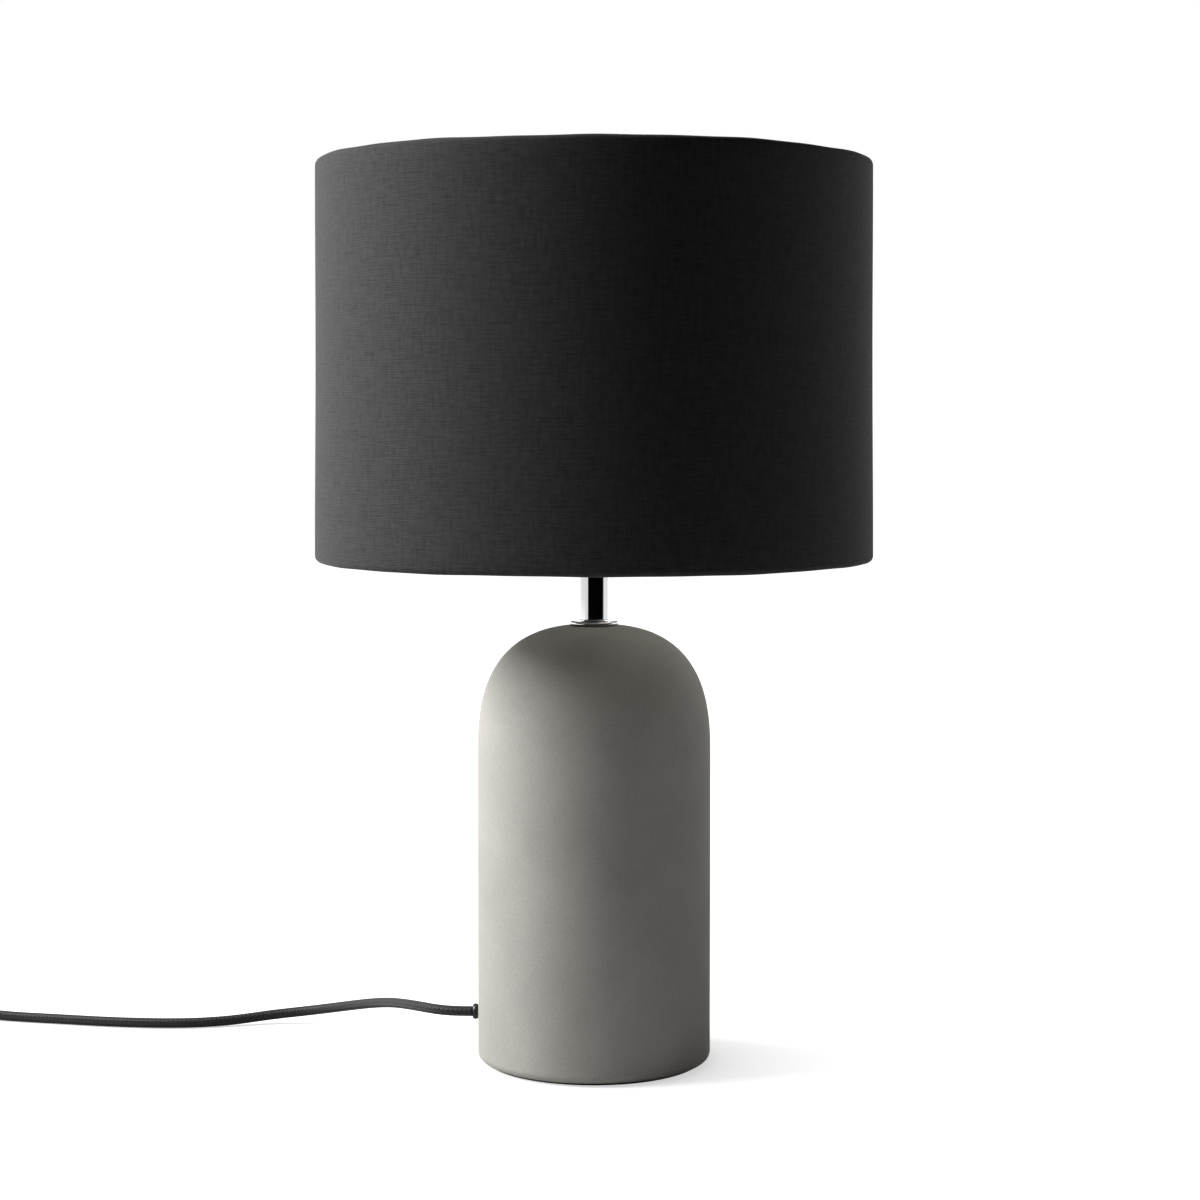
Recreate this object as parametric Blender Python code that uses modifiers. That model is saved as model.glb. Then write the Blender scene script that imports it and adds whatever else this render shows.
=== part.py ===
"""Table lamp: a domed concrete base, a short chromed stem, an E27 holder with its bulb, a fabric drum
shade on a spider fitter, and a textile cord with an in-line switch and a flat two-pin plug.

Metres, +Z up. The origin is the centre of the underside. The cord leaves the base towards -X.
"""

import math

import bmesh
import bpy
import numpy as np
from mathutils import Matrix

# Driving dimensions
GAP = 0.0003                    # between pieces that touch
STEPS = 48                      # around the large turned pieces
SMALL_STEPS = 20                # around the small ones

BASE_DIAMETER = 0.1256
BASE_TAPER = 0.0003             # how much the radius shrinks from the shoulder to the foot
BASE_HEIGHT = 0.2345
SHOULDER_HEIGHT = 0.165         # where the straight side turns into the dome
DOME_POWER = 2.65               # 2 would be an ellipse, more is squarer
BASE_WALL = 0.013
FOOT_EDGE_RADIUS = 0.004
COVER_LEDGE = 0.0032            # of concrete that the cover rests against
COVER_THICKNESS = 0.003
FELT_INSET = 0.005              # from the foot's edge to the felt's
FELT_THICKNESS = 0.001

ROD_DIAMETER = 0.010
ROD_WALL = 0.0009
ROD_CLEARANCE = 0.0004
WASHER_DIAMETER = 0.030
WASHER_THICKNESS = 0.002
WASHER_CLEARANCE = 0.002        # around the washer on its flat seat
NUT_LAND = 0.002                # of the nut outside the rod, across the flats
NUT_THICKNESS = 0.004
ROD_BELOW_NUT = 0.006
TOP_DISC_DIAMETER = 0.0263
TOP_DISC_THICKNESS = 0.002
STEM_DIAMETER = 0.015
STEM_WALL = 0.0012
STEM_LENGTH = 0.0383

HOLDER_THREAD_DIAMETER = 0.039
HOLDER_THREAD_HEIGHT = 0.0262
HOLDER_STEP = 0.00075           # the skirt stands this far outside the thread
HOLDER_WALL = 0.0018
HOLDER_CAP_HEIGHT = 0.018
HOLDER_FLANGE_WIDTH = 0.0045
HOLDER_FLANGE_THICKNESS = 0.002
HOLDER_SKIRT_HEIGHT = 0.008
INSERT_CLEARANCE = 0.001
TERMINAL_ROOM = 0.009           # under the insert, for the cores and their screws
INSERT_HEIGHT = 0.014
SHADE_RING_RIM = 0.0085
SHADE_RING_HEIGHT = 0.011
TERMINAL_SPACING = 0.018
TERMINAL_HEAD = 0.0052
LOCK_SCREW_DIAMETER = 0.003

BULB_CAP_DIAMETER = 0.0262
BULB_CAP_HEIGHT = 0.0215
BULB_DIAMETER = 0.060
BULB_COLLAR_HEIGHT = 0.030
BULB_GLASS = 0.001
SOCKET_CLEARANCE = 0.0006
CONTACT_LENGTH = 0.012          # of the holder's side contact
CONTACT_THICKNESS = 0.0008
CENTRE_CONTACT_HEIGHT = 0.0042

SHADE_DIAMETER = 0.300
SHADE_HEIGHT = 0.215
SHADE_RECESS = 0.035            # from the shade's lower edge up to its fitter ring
CLOTH_THICKNESS = 0.0008
LINING_THICKNESS = 0.0006
WIRE_DIAMETER = 0.0036
SPOKE_DIAMETER = 0.003
SPOKE_COUNT = 3
FITTER_BAND = 0.0085
FITTER_CLEARANCE = 0.001
FITTER_THICKNESS = 0.0016

CORD_DIAMETER = 0.0055
CORD_HEIGHT = 0.0256            # of its hole in the base
BUSHING_WALL = 0.00085
BUSHING_FLANGE_RIM = 0.0004
BUSHING_FLANGE_THICKNESS = 0.0024
BUSHING_INSIDE = 0.009          # how far the bushing reaches into the hollow
STOP_COLLAR_WALL = 0.0025
STOP_COLLAR_LENGTH = 0.008
CORE_DIAMETER = 0.0024          # one insulated conductor
INNER_BEND = 0.030              # how far the cord swings as it turns up to the rod

SWITCH_PLACE = (-0.408, 0.100)
SWITCH_TURN = math.radians(170)
SWITCH_LENGTH = 0.066
SWITCH_WIDTH = 0.028
SWITCH_HEIGHT = 0.018
SWITCH_WALL = 0.0018
SWITCH_OVAL = 2.6
ROCKER_LENGTH = 0.019
ROCKER_WIDTH = 0.0095
ROCKER_TILT = math.radians(8)   # to either side of level
ROCKER_TRUNNION = 0.003
SWITCH_SCREW_DIAMETER = 0.0026
SWITCH_SCREW_HEAD = 0.0052
SWITCH_SCREW_SPREAD = 0.020
SWITCH_BOSS_WALL = 0.0022
SWITCH_FOOT = 0.0004            # the switch and the plug stand this far off the table

PLUG_PLACE = (-0.4930, -0.0330)
PLUG_TURN = math.radians(-88)
PLUG_LENGTH = 0.036
PLUG_WIDTH = 0.0353
PLUG_THICKNESS = 0.0137
PLUG_RELIEF_LENGTH = 0.025
PIN_DIAMETER = 0.004
PIN_LENGTH = 0.019
PIN_SPACING = 0.0186
PIN_ROOT = 0.008                # of each pin inside the plug

COIL_PLACE = (-0.458, 0.052)
COIL_INNER_RADIUS = 0.0193
COIL_OUTER_RADIUS = 0.0445
COIL_BOTTOM = 0.0012
COIL_TOP = 0.0123
TIE_ANGLE = math.radians(-35)
TIE_THICKNESS = 0.0006
TIE_WIDTH = 0.005

# The cord's routes, point by point
ROUTE_TO_SWITCH = [
    (-0.0660, 0.0000, 0.0256), (-0.0800, 0.0020, 0.0256), (-0.0925, 0.0105, 0.0254),
    (-0.1030, 0.0230, 0.0242), (-0.1130, 0.0370, 0.0219), (-0.1235, 0.0505, 0.0186),
    (-0.1355, 0.0630, 0.0147), (-0.1495, 0.0740, 0.0106), (-0.1655, 0.0810, 0.0072),
    (-0.1840, 0.0815, 0.0050), (-0.2030, 0.0765, 0.0035), (-0.2230, 0.0718, 0.0029),
    (-0.2460, 0.0703, 0.0029), (-0.2760, 0.0737, 0.0029), (-0.3080, 0.0807, 0.0029),
    (-0.3380, 0.0879, 0.0030), (-0.3530, 0.0908, 0.0046), (-0.3650, 0.0928, 0.0076),
    (-0.3752, 0.0942, 0.0088),
]
ROUTE_TO_COIL = [
    (-0.4408, 0.1058, 0.0088), (-0.4490, 0.1066, 0.0083), (-0.4580, 0.1060, 0.0069),
    (-0.4672, 0.1028, 0.0055), (-0.4753, 0.0994, 0.0047), (-0.4822, 0.0934, 0.0043),
    (-0.4880, 0.0888, 0.0041),
]
ROUTE_TO_PLUG = [
    (-0.4963, 0.0235, 0.0084), (-0.4955, 0.0190, 0.0079), (-0.4947, 0.0140, 0.0073),
    (-0.4944, 0.0103, 0.0069),
]

# Heights and radii that follow from them
foot_z = FELT_THICKNESS + GAP
foot_radius = BASE_DIAMETER / 2 - BASE_TAPER
wall_inside = BASE_DIAMETER / 2 - BASE_WALL
cover_radius = wall_inside + COVER_LEDGE
rod_hole = ROD_DIAMETER / 2 + ROD_CLEARANCE
disc_z = BASE_HEIGHT + GAP
stem_z = disc_z + TOP_DISC_THICKNESS + GAP
cap_z = stem_z + STEM_LENGTH + GAP
shell_z = cap_z + HOLDER_CAP_HEIGHT + GAP
flange_z = shell_z + HOLDER_SKIRT_HEIGHT
fitter_z = flange_z + HOLDER_FLANGE_THICKNESS + GAP
ring_z = fitter_z + FITTER_THICKNESS + GAP
mouth_z = flange_z + HOLDER_FLANGE_THICKNESS + HOLDER_THREAD_HEIGHT
thread_radius = HOLDER_THREAD_DIAMETER / 2
skirt_radius = thread_radius + HOLDER_STEP
cap_inside = skirt_radius - HOLDER_WALL
fitter_hole = thread_radius + FITTER_CLEARANCE
fitter_outer = fitter_hole + FITTER_BAND
insert_z = cap_z + HOLDER_WALL + TERMINAL_ROOM
insert_top = insert_z + INSERT_HEIGHT
bulb_z = insert_top + CENTRE_CONTACT_HEIGHT
shade_z = fitter_z - SHADE_RECESS
shade_top = shade_z + SHADE_HEIGHT
roll_radius = WIRE_DIAMETER / 2 + GAP
wire_radius = SHADE_DIAMETER / 2 - CLOTH_THICKNESS - roll_radius
lining_radius = SHADE_DIAMETER / 2 - CLOTH_THICKNESS - GAP
cord_radius = CORD_DIAMETER / 2
bushing_bore = cord_radius + GAP
bushing_sleeve = bushing_bore + BUSHING_WALL
switch_middle = SWITCH_HEIGHT / 2
plug_middle = PLUG_THICKNESS / 2


def clear_scene():
    for obj in list(bpy.data.objects):
        bpy.data.objects.remove(obj, do_unlink=True)


clear_scene()
lamp = bpy.data.collections.new("table_lamp")
cutters = bpy.data.collections.new("cutters")
bpy.context.scene.collection.children.link(lamp)
bpy.context.scene.collection.children.link(cutters)


def material(name, colour, roughness, metallic=0.0, transmission=0.0):
    """A Principled material; colour is linear RGB."""
    made = bpy.data.materials.new(name)
    made.use_nodes = True
    shader = made.node_tree.nodes["Principled BSDF"]
    shader.inputs["Base Color"].default_value = (*colour, 1.0)
    shader.inputs["Roughness"].default_value = roughness
    shader.inputs["Metallic"].default_value = metallic
    shader.inputs["Transmission Weight"].default_value = transmission
    made.diffuse_color = (*colour, 1.0)
    return made


concrete = material("cast_concrete", (0.36, 0.34, 0.31), 0.85)
felt = material("black_felt", (0.012, 0.012, 0.012), 0.95)
chrome = material("polished_chrome", (0.75, 0.75, 0.76), 0.05, metallic=1.0)
zinc = material("zinc_plated_steel", (0.55, 0.55, 0.53), 0.35, metallic=1.0)
black_plastic = material("black_plastic", (0.015, 0.015, 0.016), 0.4)
ceramic = material("white_ceramic", (0.80, 0.78, 0.74), 0.3)
brass = material("brass", (0.80, 0.58, 0.26), 0.25, metallic=1.0)
black_cotton = material("black_cotton", (0.020, 0.019, 0.019), 0.9)
white_film = material("white_lining_film", (0.80, 0.79, 0.76), 0.5)
white_wire = material("white_enamelled_wire", (0.78, 0.78, 0.76), 0.35)
opal_glass = material("opal_glass", (0.88, 0.88, 0.86), 0.25, transmission=0.2)
white_plastic = material("white_plastic", (0.82, 0.82, 0.80), 0.35)
braid = material("black_textile_braid", (0.014, 0.014, 0.015), 0.85)
brown_wire = material("brown_insulation", (0.10, 0.035, 0.014), 0.4)
blue_wire = material("blue_insulation", (0.02, 0.09, 0.30), 0.4)


def placed(name, data, surface, collection=lamp):
    """An object that holds this data, in its collection, with its material."""
    obj = bpy.data.objects.new(name, data)
    collection.objects.link(obj)
    if surface is not None:
        obj.data.materials.append(surface)
    if collection is cutters:
        obj.hide_render = True
        obj.display_type = "WIRE"
    return obj


def settled(obj):
    """The object with its modifiers or its curve made into one mesh, smooth with sharp corners."""
    bpy.context.view_layer.update()
    graph = bpy.context.evaluated_depsgraph_get()
    mesh = bpy.data.meshes.new_from_object(obj.evaluated_get(graph))
    joined = bmesh.new()
    joined.from_mesh(mesh)
    bmesh.ops.remove_doubles(joined, verts=joined.verts, dist=1e-6)
    joined.to_mesh(mesh)
    joined.free()
    mesh.shade_smooth()
    mesh.set_sharp_from_angle(angle=math.radians(35))
    if obj.type == "MESH":
        obj.modifiers.clear()
        obj.data = mesh
        return obj
    collection = obj.users_collection[0]
    surface = obj.data.materials[0] if obj.data.materials else None
    name, place = obj.name, obj.matrix_world.copy()
    bpy.data.objects.remove(obj, do_unlink=True)
    mesh.materials.clear()
    solid = placed(name, mesh, surface, collection)
    solid.matrix_world = place
    return solid


def turned(name, profile, surface, steps=SMALL_STEPS, closed=True, collection=lamp):
    """A turned solid. The profile's (radius, height) points run down the outer side, top to bottom;
    a closed one goes on up the inner side, and an open one starts and ends on the axis."""
    mesh = bpy.data.meshes.new(name)
    shape = bmesh.new()
    points = [shape.verts.new((radius, 0.0, height)) for radius, height in profile]
    for first, second in zip(points, points[1:]):
        shape.edges.new((first, second))
    if closed:
        shape.edges.new((points[-1], points[0]))
    shape.to_mesh(mesh)
    shape.free()
    obj = placed(name, mesh, surface, collection)
    screw = obj.modifiers.new("turn", "SCREW")
    screw.steps = steps
    screw.render_steps = steps
    screw.use_merge_vertices = True
    screw.merge_threshold = 0.00001
    screw.use_normal_calculate = False
    return settled(obj)


def sleeve(name, outer, inner, low, high, surface, steps=SMALL_STEPS, edge=0.0, collection=lamp):
    """A plain turned tube or washer, with its outer corners broken by edge."""
    profile = [(outer - edge, high), (outer, high - edge), (outer, low + edge), (outer - edge, low)]
    if edge == 0.0:
        profile = [(outer, high), (outer, low)]
    return turned(name, profile + [(inner, low), (inner, high)], surface, steps, True, collection)


def rod(name, radius, low, high, surface, steps=SMALL_STEPS, edge=0.0, collection=lamp):
    """A plain turned rod or disc."""
    profile = [(0.0, high), (radius - edge, high), (radius, high - edge)]
    profile += [(radius, low + edge), (radius - edge, low), (0.0, low)]
    if edge == 0.0:
        profile = [(0.0, high), (radius, high), (radius, low), (0.0, low)]
    return turned(name, profile, surface, steps, False, collection)


def cut(obj, cutter, operation="DIFFERENCE"):
    """Cuts the cutter from the object, or joins it on with UNION."""
    boolean = obj.modifiers.new(cutter.name, "BOOLEAN")
    boolean.operation = operation
    boolean.object = cutter
    boolean.solver = "EXACT"


def box(name, size, middle, surface, collection=lamp):
    mesh = bpy.data.meshes.new(name)
    shape = bmesh.new()
    bmesh.ops.create_cube(shape, size=1.0)
    bmesh.ops.scale(shape, vec=size, verts=shape.verts)
    bmesh.ops.translate(shape, vec=middle, verts=shape.verts)
    shape.to_mesh(mesh)
    shape.free()
    return placed(name, mesh, surface, collection)


def outline(name, points, low, high, surface, bevel=0.0, collection=lamp):
    """A flat outline in XY, extruded from low to high, with its edges rounded by bevel."""
    curve = bpy.data.curves.new(name, "CURVE")
    curve.dimensions = "2D"
    curve.fill_mode = "BOTH"
    curve.extrude = (high - low) / 2
    spline = curve.splines.new("POLY")
    spline.points.add(len(points) - 1)
    for point, (x, y) in zip(spline.points, points):
        point.co = (x, y, 0.0, 1.0)
    spline.use_cyclic_u = True
    obj = placed(name, curve, surface, collection)
    obj.location.z = (high + low) / 2
    solid = settled(obj)
    if bevel > 0.0:
        rounding = solid.modifiers.new("rounding", "BEVEL")
        rounding.width = bevel
        rounding.segments = 2
        rounding.limit_method = "ANGLE"
        rounding.angle_limit = math.radians(50)
    return solid


def smooth_points(route, spacing):
    """Points a spacing apart along the natural cubic curve through the route's points."""
    knots = np.array(route, dtype=float)
    lengths = np.linalg.norm(np.diff(knots, axis=0), axis=1) ** 0.5
    times = np.concatenate([[0.0], np.cumsum(lengths)])
    count = len(knots)
    matrix = np.eye(count)
    right = np.zeros_like(knots)
    for i in range(1, count - 1):
        before, after = lengths[i - 1], lengths[i]
        matrix[i, i - 1:i + 2] = before, 2 * (before + after), after
        right[i] = 6 * ((knots[i + 1] - knots[i]) / after - (knots[i] - knots[i - 1]) / before)
    bends = np.linalg.solve(matrix, right)
    total = np.linalg.norm(np.diff(knots, axis=0), axis=1).sum()
    sampled = np.linspace(0.0, times[-1], max(3, round(total / spacing) + 1))
    span = np.clip(np.searchsorted(times, sampled, "right") - 1, 0, count - 2)
    width = lengths[span][:, None]
    to_end = (times[span + 1] - sampled)[:, None]
    from_start = (sampled - times[span])[:, None]
    curve = (bends[span] * to_end ** 3 + bends[span + 1] * from_start ** 3) / (6 * width)
    curve += (knots[span] / width - bends[span] * width / 6) * to_end
    curve += (knots[span + 1] / width - bends[span + 1] * width / 6) * from_start
    return curve


def tube(name, points, diameter, surface, resolution=2):
    """A wire or cord: a poly curve with a round bevel and closed ends."""
    curve = bpy.data.curves.new(name, "CURVE")
    curve.dimensions = "3D"
    curve.bevel_depth = diameter / 2
    curve.bevel_resolution = resolution
    curve.use_fill_caps = True
    spline = curve.splines.new("POLY")
    spline.points.add(len(points) - 1)
    for point, place in zip(spline.points, points):
        point.co = (*place, 1.0)
    return placed(name, curve, surface)


def parent_to(empty, pieces):
    for piece in pieces:
        piece.parent = empty
        piece.matrix_parent_inverse = empty.matrix_world.inverted()


def axis_empty(name, place, turn=0.0):
    empty = bpy.data.objects.new(name, None)
    lamp.objects.link(empty)
    empty.location = place
    empty.rotation_euler = (0.0, 0.0, turn)
    bpy.context.view_layer.update()
    return empty


def carry(empty, pieces):
    """Parents pieces modelled around the world's origin, so that they move to the empty's place."""
    for piece in pieces:
        piece.parent = empty


def dome(radius, low, high, steps=9):
    """The superellipse from the shoulder's (radius, low) up to the crown at (0, high)."""
    points = []
    for i in range(steps + 1):
        angle = math.pi / 2 * i / steps
        across = radius * math.cos(angle) ** (2 / DOME_POWER) if i < steps else 0.0
        points.append((across, low + (high - low) * math.sin(angle) ** (2 / DOME_POWER)))
    return points


def height_at(profile, across):
    """The height of a falling or rising profile of (across, height) points at a distance from the axis."""
    for (a, low), (b, high) in zip(profile, profile[1:]):
        if b <= across <= a:
            return low + (high - low) * (a - across) / (a - b)


# The cast base, its cover and its felt

inner_crown = BASE_HEIGHT - BASE_WALL
seat_radius = WASHER_DIAMETER / 2 + WASHER_CLEARANCE
washer_seat = height_at(dome(wall_inside, SHOULDER_HEIGHT, inner_crown), seat_radius)


def base():
    outer = dome(BASE_DIAMETER / 2, SHOULDER_HEIGHT, BASE_HEIGHT)
    outer[-1] = (rod_hole, BASE_HEIGHT)
    inner = [point for point in dome(wall_inside, SHOULDER_HEIGHT, inner_crown) if point[1] < washer_seat]
    inner += [(seat_radius, washer_seat), (rod_hole, washer_seat)]
    corner = [(foot_radius - FOOT_EDGE_RADIUS * (1 - math.cos(math.radians(a))),
               foot_z + FOOT_EDGE_RADIUS * (1 - math.sin(math.radians(a)))) for a in (0, 30, 60, 90)]
    rebate = cover_radius + GAP
    ledge = foot_z + COVER_THICKNESS + GAP
    under = [(rebate, foot_z), (rebate, ledge), (wall_inside, ledge)]
    profile = outer[::-1] + corner + under + inner
    shell = turned("base_shell", profile, concrete, STEPS)
    hole = rod("cord_hole_cutter", bushing_sleeve + GAP, 0.0, BASE_DIAMETER, None, collection=cutters)
    hole.rotation_euler = (0.0, -math.pi / 2, 0.0)
    hole.location = (0.0, 0.0, CORD_HEIGHT)
    cut(shell, hole)
    rod("bottom_cover", cover_radius, foot_z, foot_z + COVER_THICKNESS, black_plastic, STEPS)
    rod("felt_pad", foot_radius - FELT_INSET, 0.0, FELT_THICKNESS, felt, STEPS)


# The threaded rod and what it clamps

nut_z = washer_seat - GAP - WASHER_THICKNESS - GAP - NUT_THICKNESS
rod_low = nut_z - ROD_BELOW_NUT
rod_high = cap_z + HOLDER_WALL + 0.004


def hexagon_nut(name, low, high, surface):
    corner = (ROD_DIAMETER / 2 + NUT_LAND) / math.cos(math.pi / 6)
    corners = [(corner * math.cos(math.pi / 3 * i), corner * math.sin(math.pi / 3 * i)) for i in range(6)]
    nut = outline(name, corners, low, high, surface)
    bore = rod(name + "_cutter", rod_hole, low - GAP, high + GAP, None, collection=cutters)
    cut(nut, bore)


def stem():
    sleeve("dome_washer", WASHER_DIAMETER / 2, rod_hole, washer_seat - GAP - WASHER_THICKNESS,
           washer_seat - GAP, zinc)
    hexagon_nut("dome_nut", nut_z, nut_z + NUT_THICKNESS, zinc)
    sleeve("threaded_rod", ROD_DIAMETER / 2, ROD_DIAMETER / 2 - ROD_WALL, rod_low, rod_high, zinc)
    sleeve("top_disc", TOP_DISC_DIAMETER / 2, rod_hole, disc_z, disc_z + TOP_DISC_THICKNESS, chrome,
           edge=TOP_DISC_THICKNESS / 4)
    sleeve("stem_tube", STEM_DIAMETER / 2, STEM_DIAMETER / 2 - STEM_WALL, stem_z,
           stem_z + STEM_LENGTH, chrome)


# The lampholder: cap, insert with its contacts, threaded shell and shade ring

contact_radius = 0.0045
lock_screw_z = cap_z + 0.013


def holder():
    top = shell_z - GAP
    neck = STEM_DIAMETER / 2 + 0.0015
    profile = [(skirt_radius, top), (skirt_radius, cap_z + 0.010), (skirt_radius - 0.004, cap_z + 0.004),
               (neck, cap_z), (rod_hole, cap_z), (rod_hole, cap_z + HOLDER_WALL),
               (neck, cap_z + HOLDER_WALL), (cap_inside - 0.004, cap_z + 0.0055),
               (cap_inside, cap_z + 0.0105), (cap_inside, top)]
    cap = turned("holder_cap", profile, black_plastic)
    lock_radius = LOCK_SCREW_DIAMETER / 2
    hole = rod("lock_hole_cutter", lock_radius + GAP, 0.0, 2 * skirt_radius, None, 12, collection=cutters)
    screw = rod("cap_lock_screw", lock_radius, cap_inside - 0.0005, skirt_radius - 0.0004, zinc, 12)
    for piece in (hole, screw):
        piece.rotation_euler = (math.pi / 2, 0.0, 0.0)
        piece.location = (0.0, 0.0, lock_screw_z)
    cut(cap, hole)

    body = rod("holder_insert", cap_inside - INSERT_CLEARANCE, insert_z, insert_top, ceramic, edge=0.0008)
    for side, name in ((1, "terminal_screw_live"), (-1, "terminal_screw_neutral")):
        place = (side * TERMINAL_SPACING / 2, 0.0, insert_z)
        head = TERMINAL_HEAD / 2
        profile = [(0.0, 0.003), (0.0014, 0.003), (0.0014, 0.0), (head, 0.0), (head, -0.0018), (0.0, -0.0018)]
        terminal = turned(name, profile, brass, 16, closed=False)
        terminal.location = (place[0], place[1], place[2] - GAP)
        hole = rod(name + "_cutter", 0.0014 + GAP, -0.001, 0.003 + GAP, None, 16, collection=cutters)
        hole.location = place
        cut(body, hole)
    sleeve("holder_centre_contact", contact_radius, 0.001, insert_top + GAP, bulb_z - GAP, brass, 20)
    contact_x = BULB_CAP_DIAMETER / 2 + SOCKET_CLEARANCE + CONTACT_THICKNESS / 2
    box("holder_side_contact", (CONTACT_THICKNESS, 0.006, CONTACT_LENGTH),
        (contact_x, 0.0, insert_top + GAP + CONTACT_LENGTH / 2), brass)

    flange = thread_radius + HOLDER_FLANGE_WIDTH
    flange_top = flange_z + HOLDER_FLANGE_THICKNESS
    bore = BULB_CAP_DIAMETER / 2 + SOCKET_CLEARANCE
    recess = bore + CONTACT_THICKNESS + 0.001
    recess_top = insert_top + CONTACT_LENGTH + 0.001
    shell = [(thread_radius, mouth_z), (thread_radius, flange_top), (flange, flange_top), (flange, flange_z),
             (skirt_radius, flange_z - 0.002), (skirt_radius, shell_z), (cap_inside, shell_z),
             (cap_inside, insert_top + GAP), (recess, insert_top + GAP), (recess, recess_top),
             (bore, recess_top + 0.001), (bore, mouth_z)]
    turned("holder_shell", shell, black_plastic, 28)


def shade_ring():
    return [sleeve("shade_ring", thread_radius + SHADE_RING_RIM, thread_radius + GAP, ring_z,
                   ring_z + SHADE_RING_HEIGHT, black_plastic, 28, edge=0.001)]


# The bulb


def bulb():
    cap_radius = BULB_CAP_DIAMETER / 2
    insulator_low = bulb_z + 0.0012 + GAP
    cap_low = insulator_low + 0.003 + GAP
    collar_low = cap_low + BULB_CAP_HEIGHT + GAP
    collar_high = collar_low + BULB_COLLAR_HEIGHT
    globe = BULB_DIAMETER / 2
    neck = globe * 0.86
    tip = rod("bulb_tip_contact", contact_radius, bulb_z, bulb_z + 0.0012, brass, 20)
    insulator = turned("bulb_insulator", [
        (0.0, insulator_low + 0.003), (0.0098, insulator_low + 0.003),
        (0.0060, insulator_low), (0.0, insulator_low)], black_plastic, 20, closed=False)
    cap = rod("bulb_screw_cap", cap_radius, cap_low, collar_low - GAP, zinc, edge=0.0015)
    collar = turned("bulb_collar", [
        (0.0, collar_high), (neck - 0.002, collar_high), (neck, collar_high - 0.001),
        (neck - 0.001, collar_high - 0.010), (cap_radius + 0.004, collar_low + 0.006),
        (cap_radius + 0.001, collar_low), (0.0, collar_low)], white_plastic, 24, closed=False)
    plate = rod("bulb_led_plate", neck - 0.006, collar_high + GAP, collar_high + 0.0012, white_plastic)
    low_angle = math.asin(-math.sqrt(globe ** 2 - neck ** 2) / globe)
    centre = collar_high + GAP - globe * math.sin(low_angle)
    outside, inside = [], []
    for i in range(11):
        angle = math.pi / 2 + (low_angle - math.pi / 2) * i / 10
        across = math.cos(angle) if i > 0 else 0.0
        outside.append((globe * across, centre + globe * math.sin(angle)))
        wall = globe - BULB_GLASS
        inside.append((wall * across, centre + wall * math.sin(angle)))
    inside[-1] = (inside[-1][0], outside[-1][1])
    glass = turned("bulb_globe", outside + inside[::-1], opal_glass, 24, closed=False)
    return [tip], [insulator, cap, collar, plate, glass]


# The shade: cloth rolled over two wire rings, white lining, fitter ring and spokes


def shade():
    outer = SHADE_DIAMETER / 2
    roll_outside = roll_radius + CLOTH_THICKNESS
    arc = [math.radians(a) for a in (0, 45, 90, 135, 180, 225)]
    high, low = shade_top - roll_outside, shade_z + roll_outside
    outside = [(wire_radius + roll_outside * math.cos(a), high + roll_outside * math.sin(a)) for a in arc]
    inside = [(wire_radius + roll_radius * math.cos(a), high + roll_radius * math.sin(a)) for a in arc]
    mirror = [(across, low + high - height) for across, height in outside]
    mirror_inside = [(across, low + high - height) for across, height in inside]
    profile = outside[::-1] + mirror + mirror_inside[::-1] + inside
    cloth = turned("shade_cloth", profile, black_cotton, STEPS)
    tail = roll_outside + roll_radius * math.sin(math.radians(45)) + 0.0015
    lining = sleeve("shade_lining", lining_radius, lining_radius - LINING_THICKNESS,
                    low + tail, high - tail, white_film, STEPS)
    pieces = [cloth, lining]
    for name, height in (("shade_top_wire", high), ("shade_bottom_wire", low)):
        section = [(wire_radius + WIRE_DIAMETER / 2 * math.cos(-math.pi / 3 * i),
                    height + WIRE_DIAMETER / 2 * math.sin(-math.pi / 3 * i)) for i in range(6)]
        pieces.append(turned(name, section, white_wire, STEPS))
    pieces.append(sleeve("fitter_ring", fitter_outer, fitter_hole, fitter_z, fitter_z + FITTER_THICKNESS,
                         white_wire, 28))
    spoke_start = wire_radius - roll_outside - GAP - SPOKE_DIAMETER / 2
    foot = low + roll_outside * math.sin(math.radians(45))
    for number in range(SPOKE_COUNT):
        angle = math.radians(30) + 2 * math.pi * number / SPOKE_COUNT
        end = fitter_z + FITTER_THICKNESS / 2
        run = [(spoke_start, foot), (spoke_start - 0.006, foot + 0.001),
               (fitter_outer + 0.030, end - 0.004), (fitter_outer + 0.012, end),
               (fitter_outer + GAP, end)]
        points = smooth_points([(r * math.cos(angle), r * math.sin(angle), h) for r, h in run], 0.012)
        pieces.append(tube(f"fitter_spoke_{number + 1}", points, SPOKE_DIAMETER, white_wire, 1))
    return pieces


# The cord inside the lamp


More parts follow.
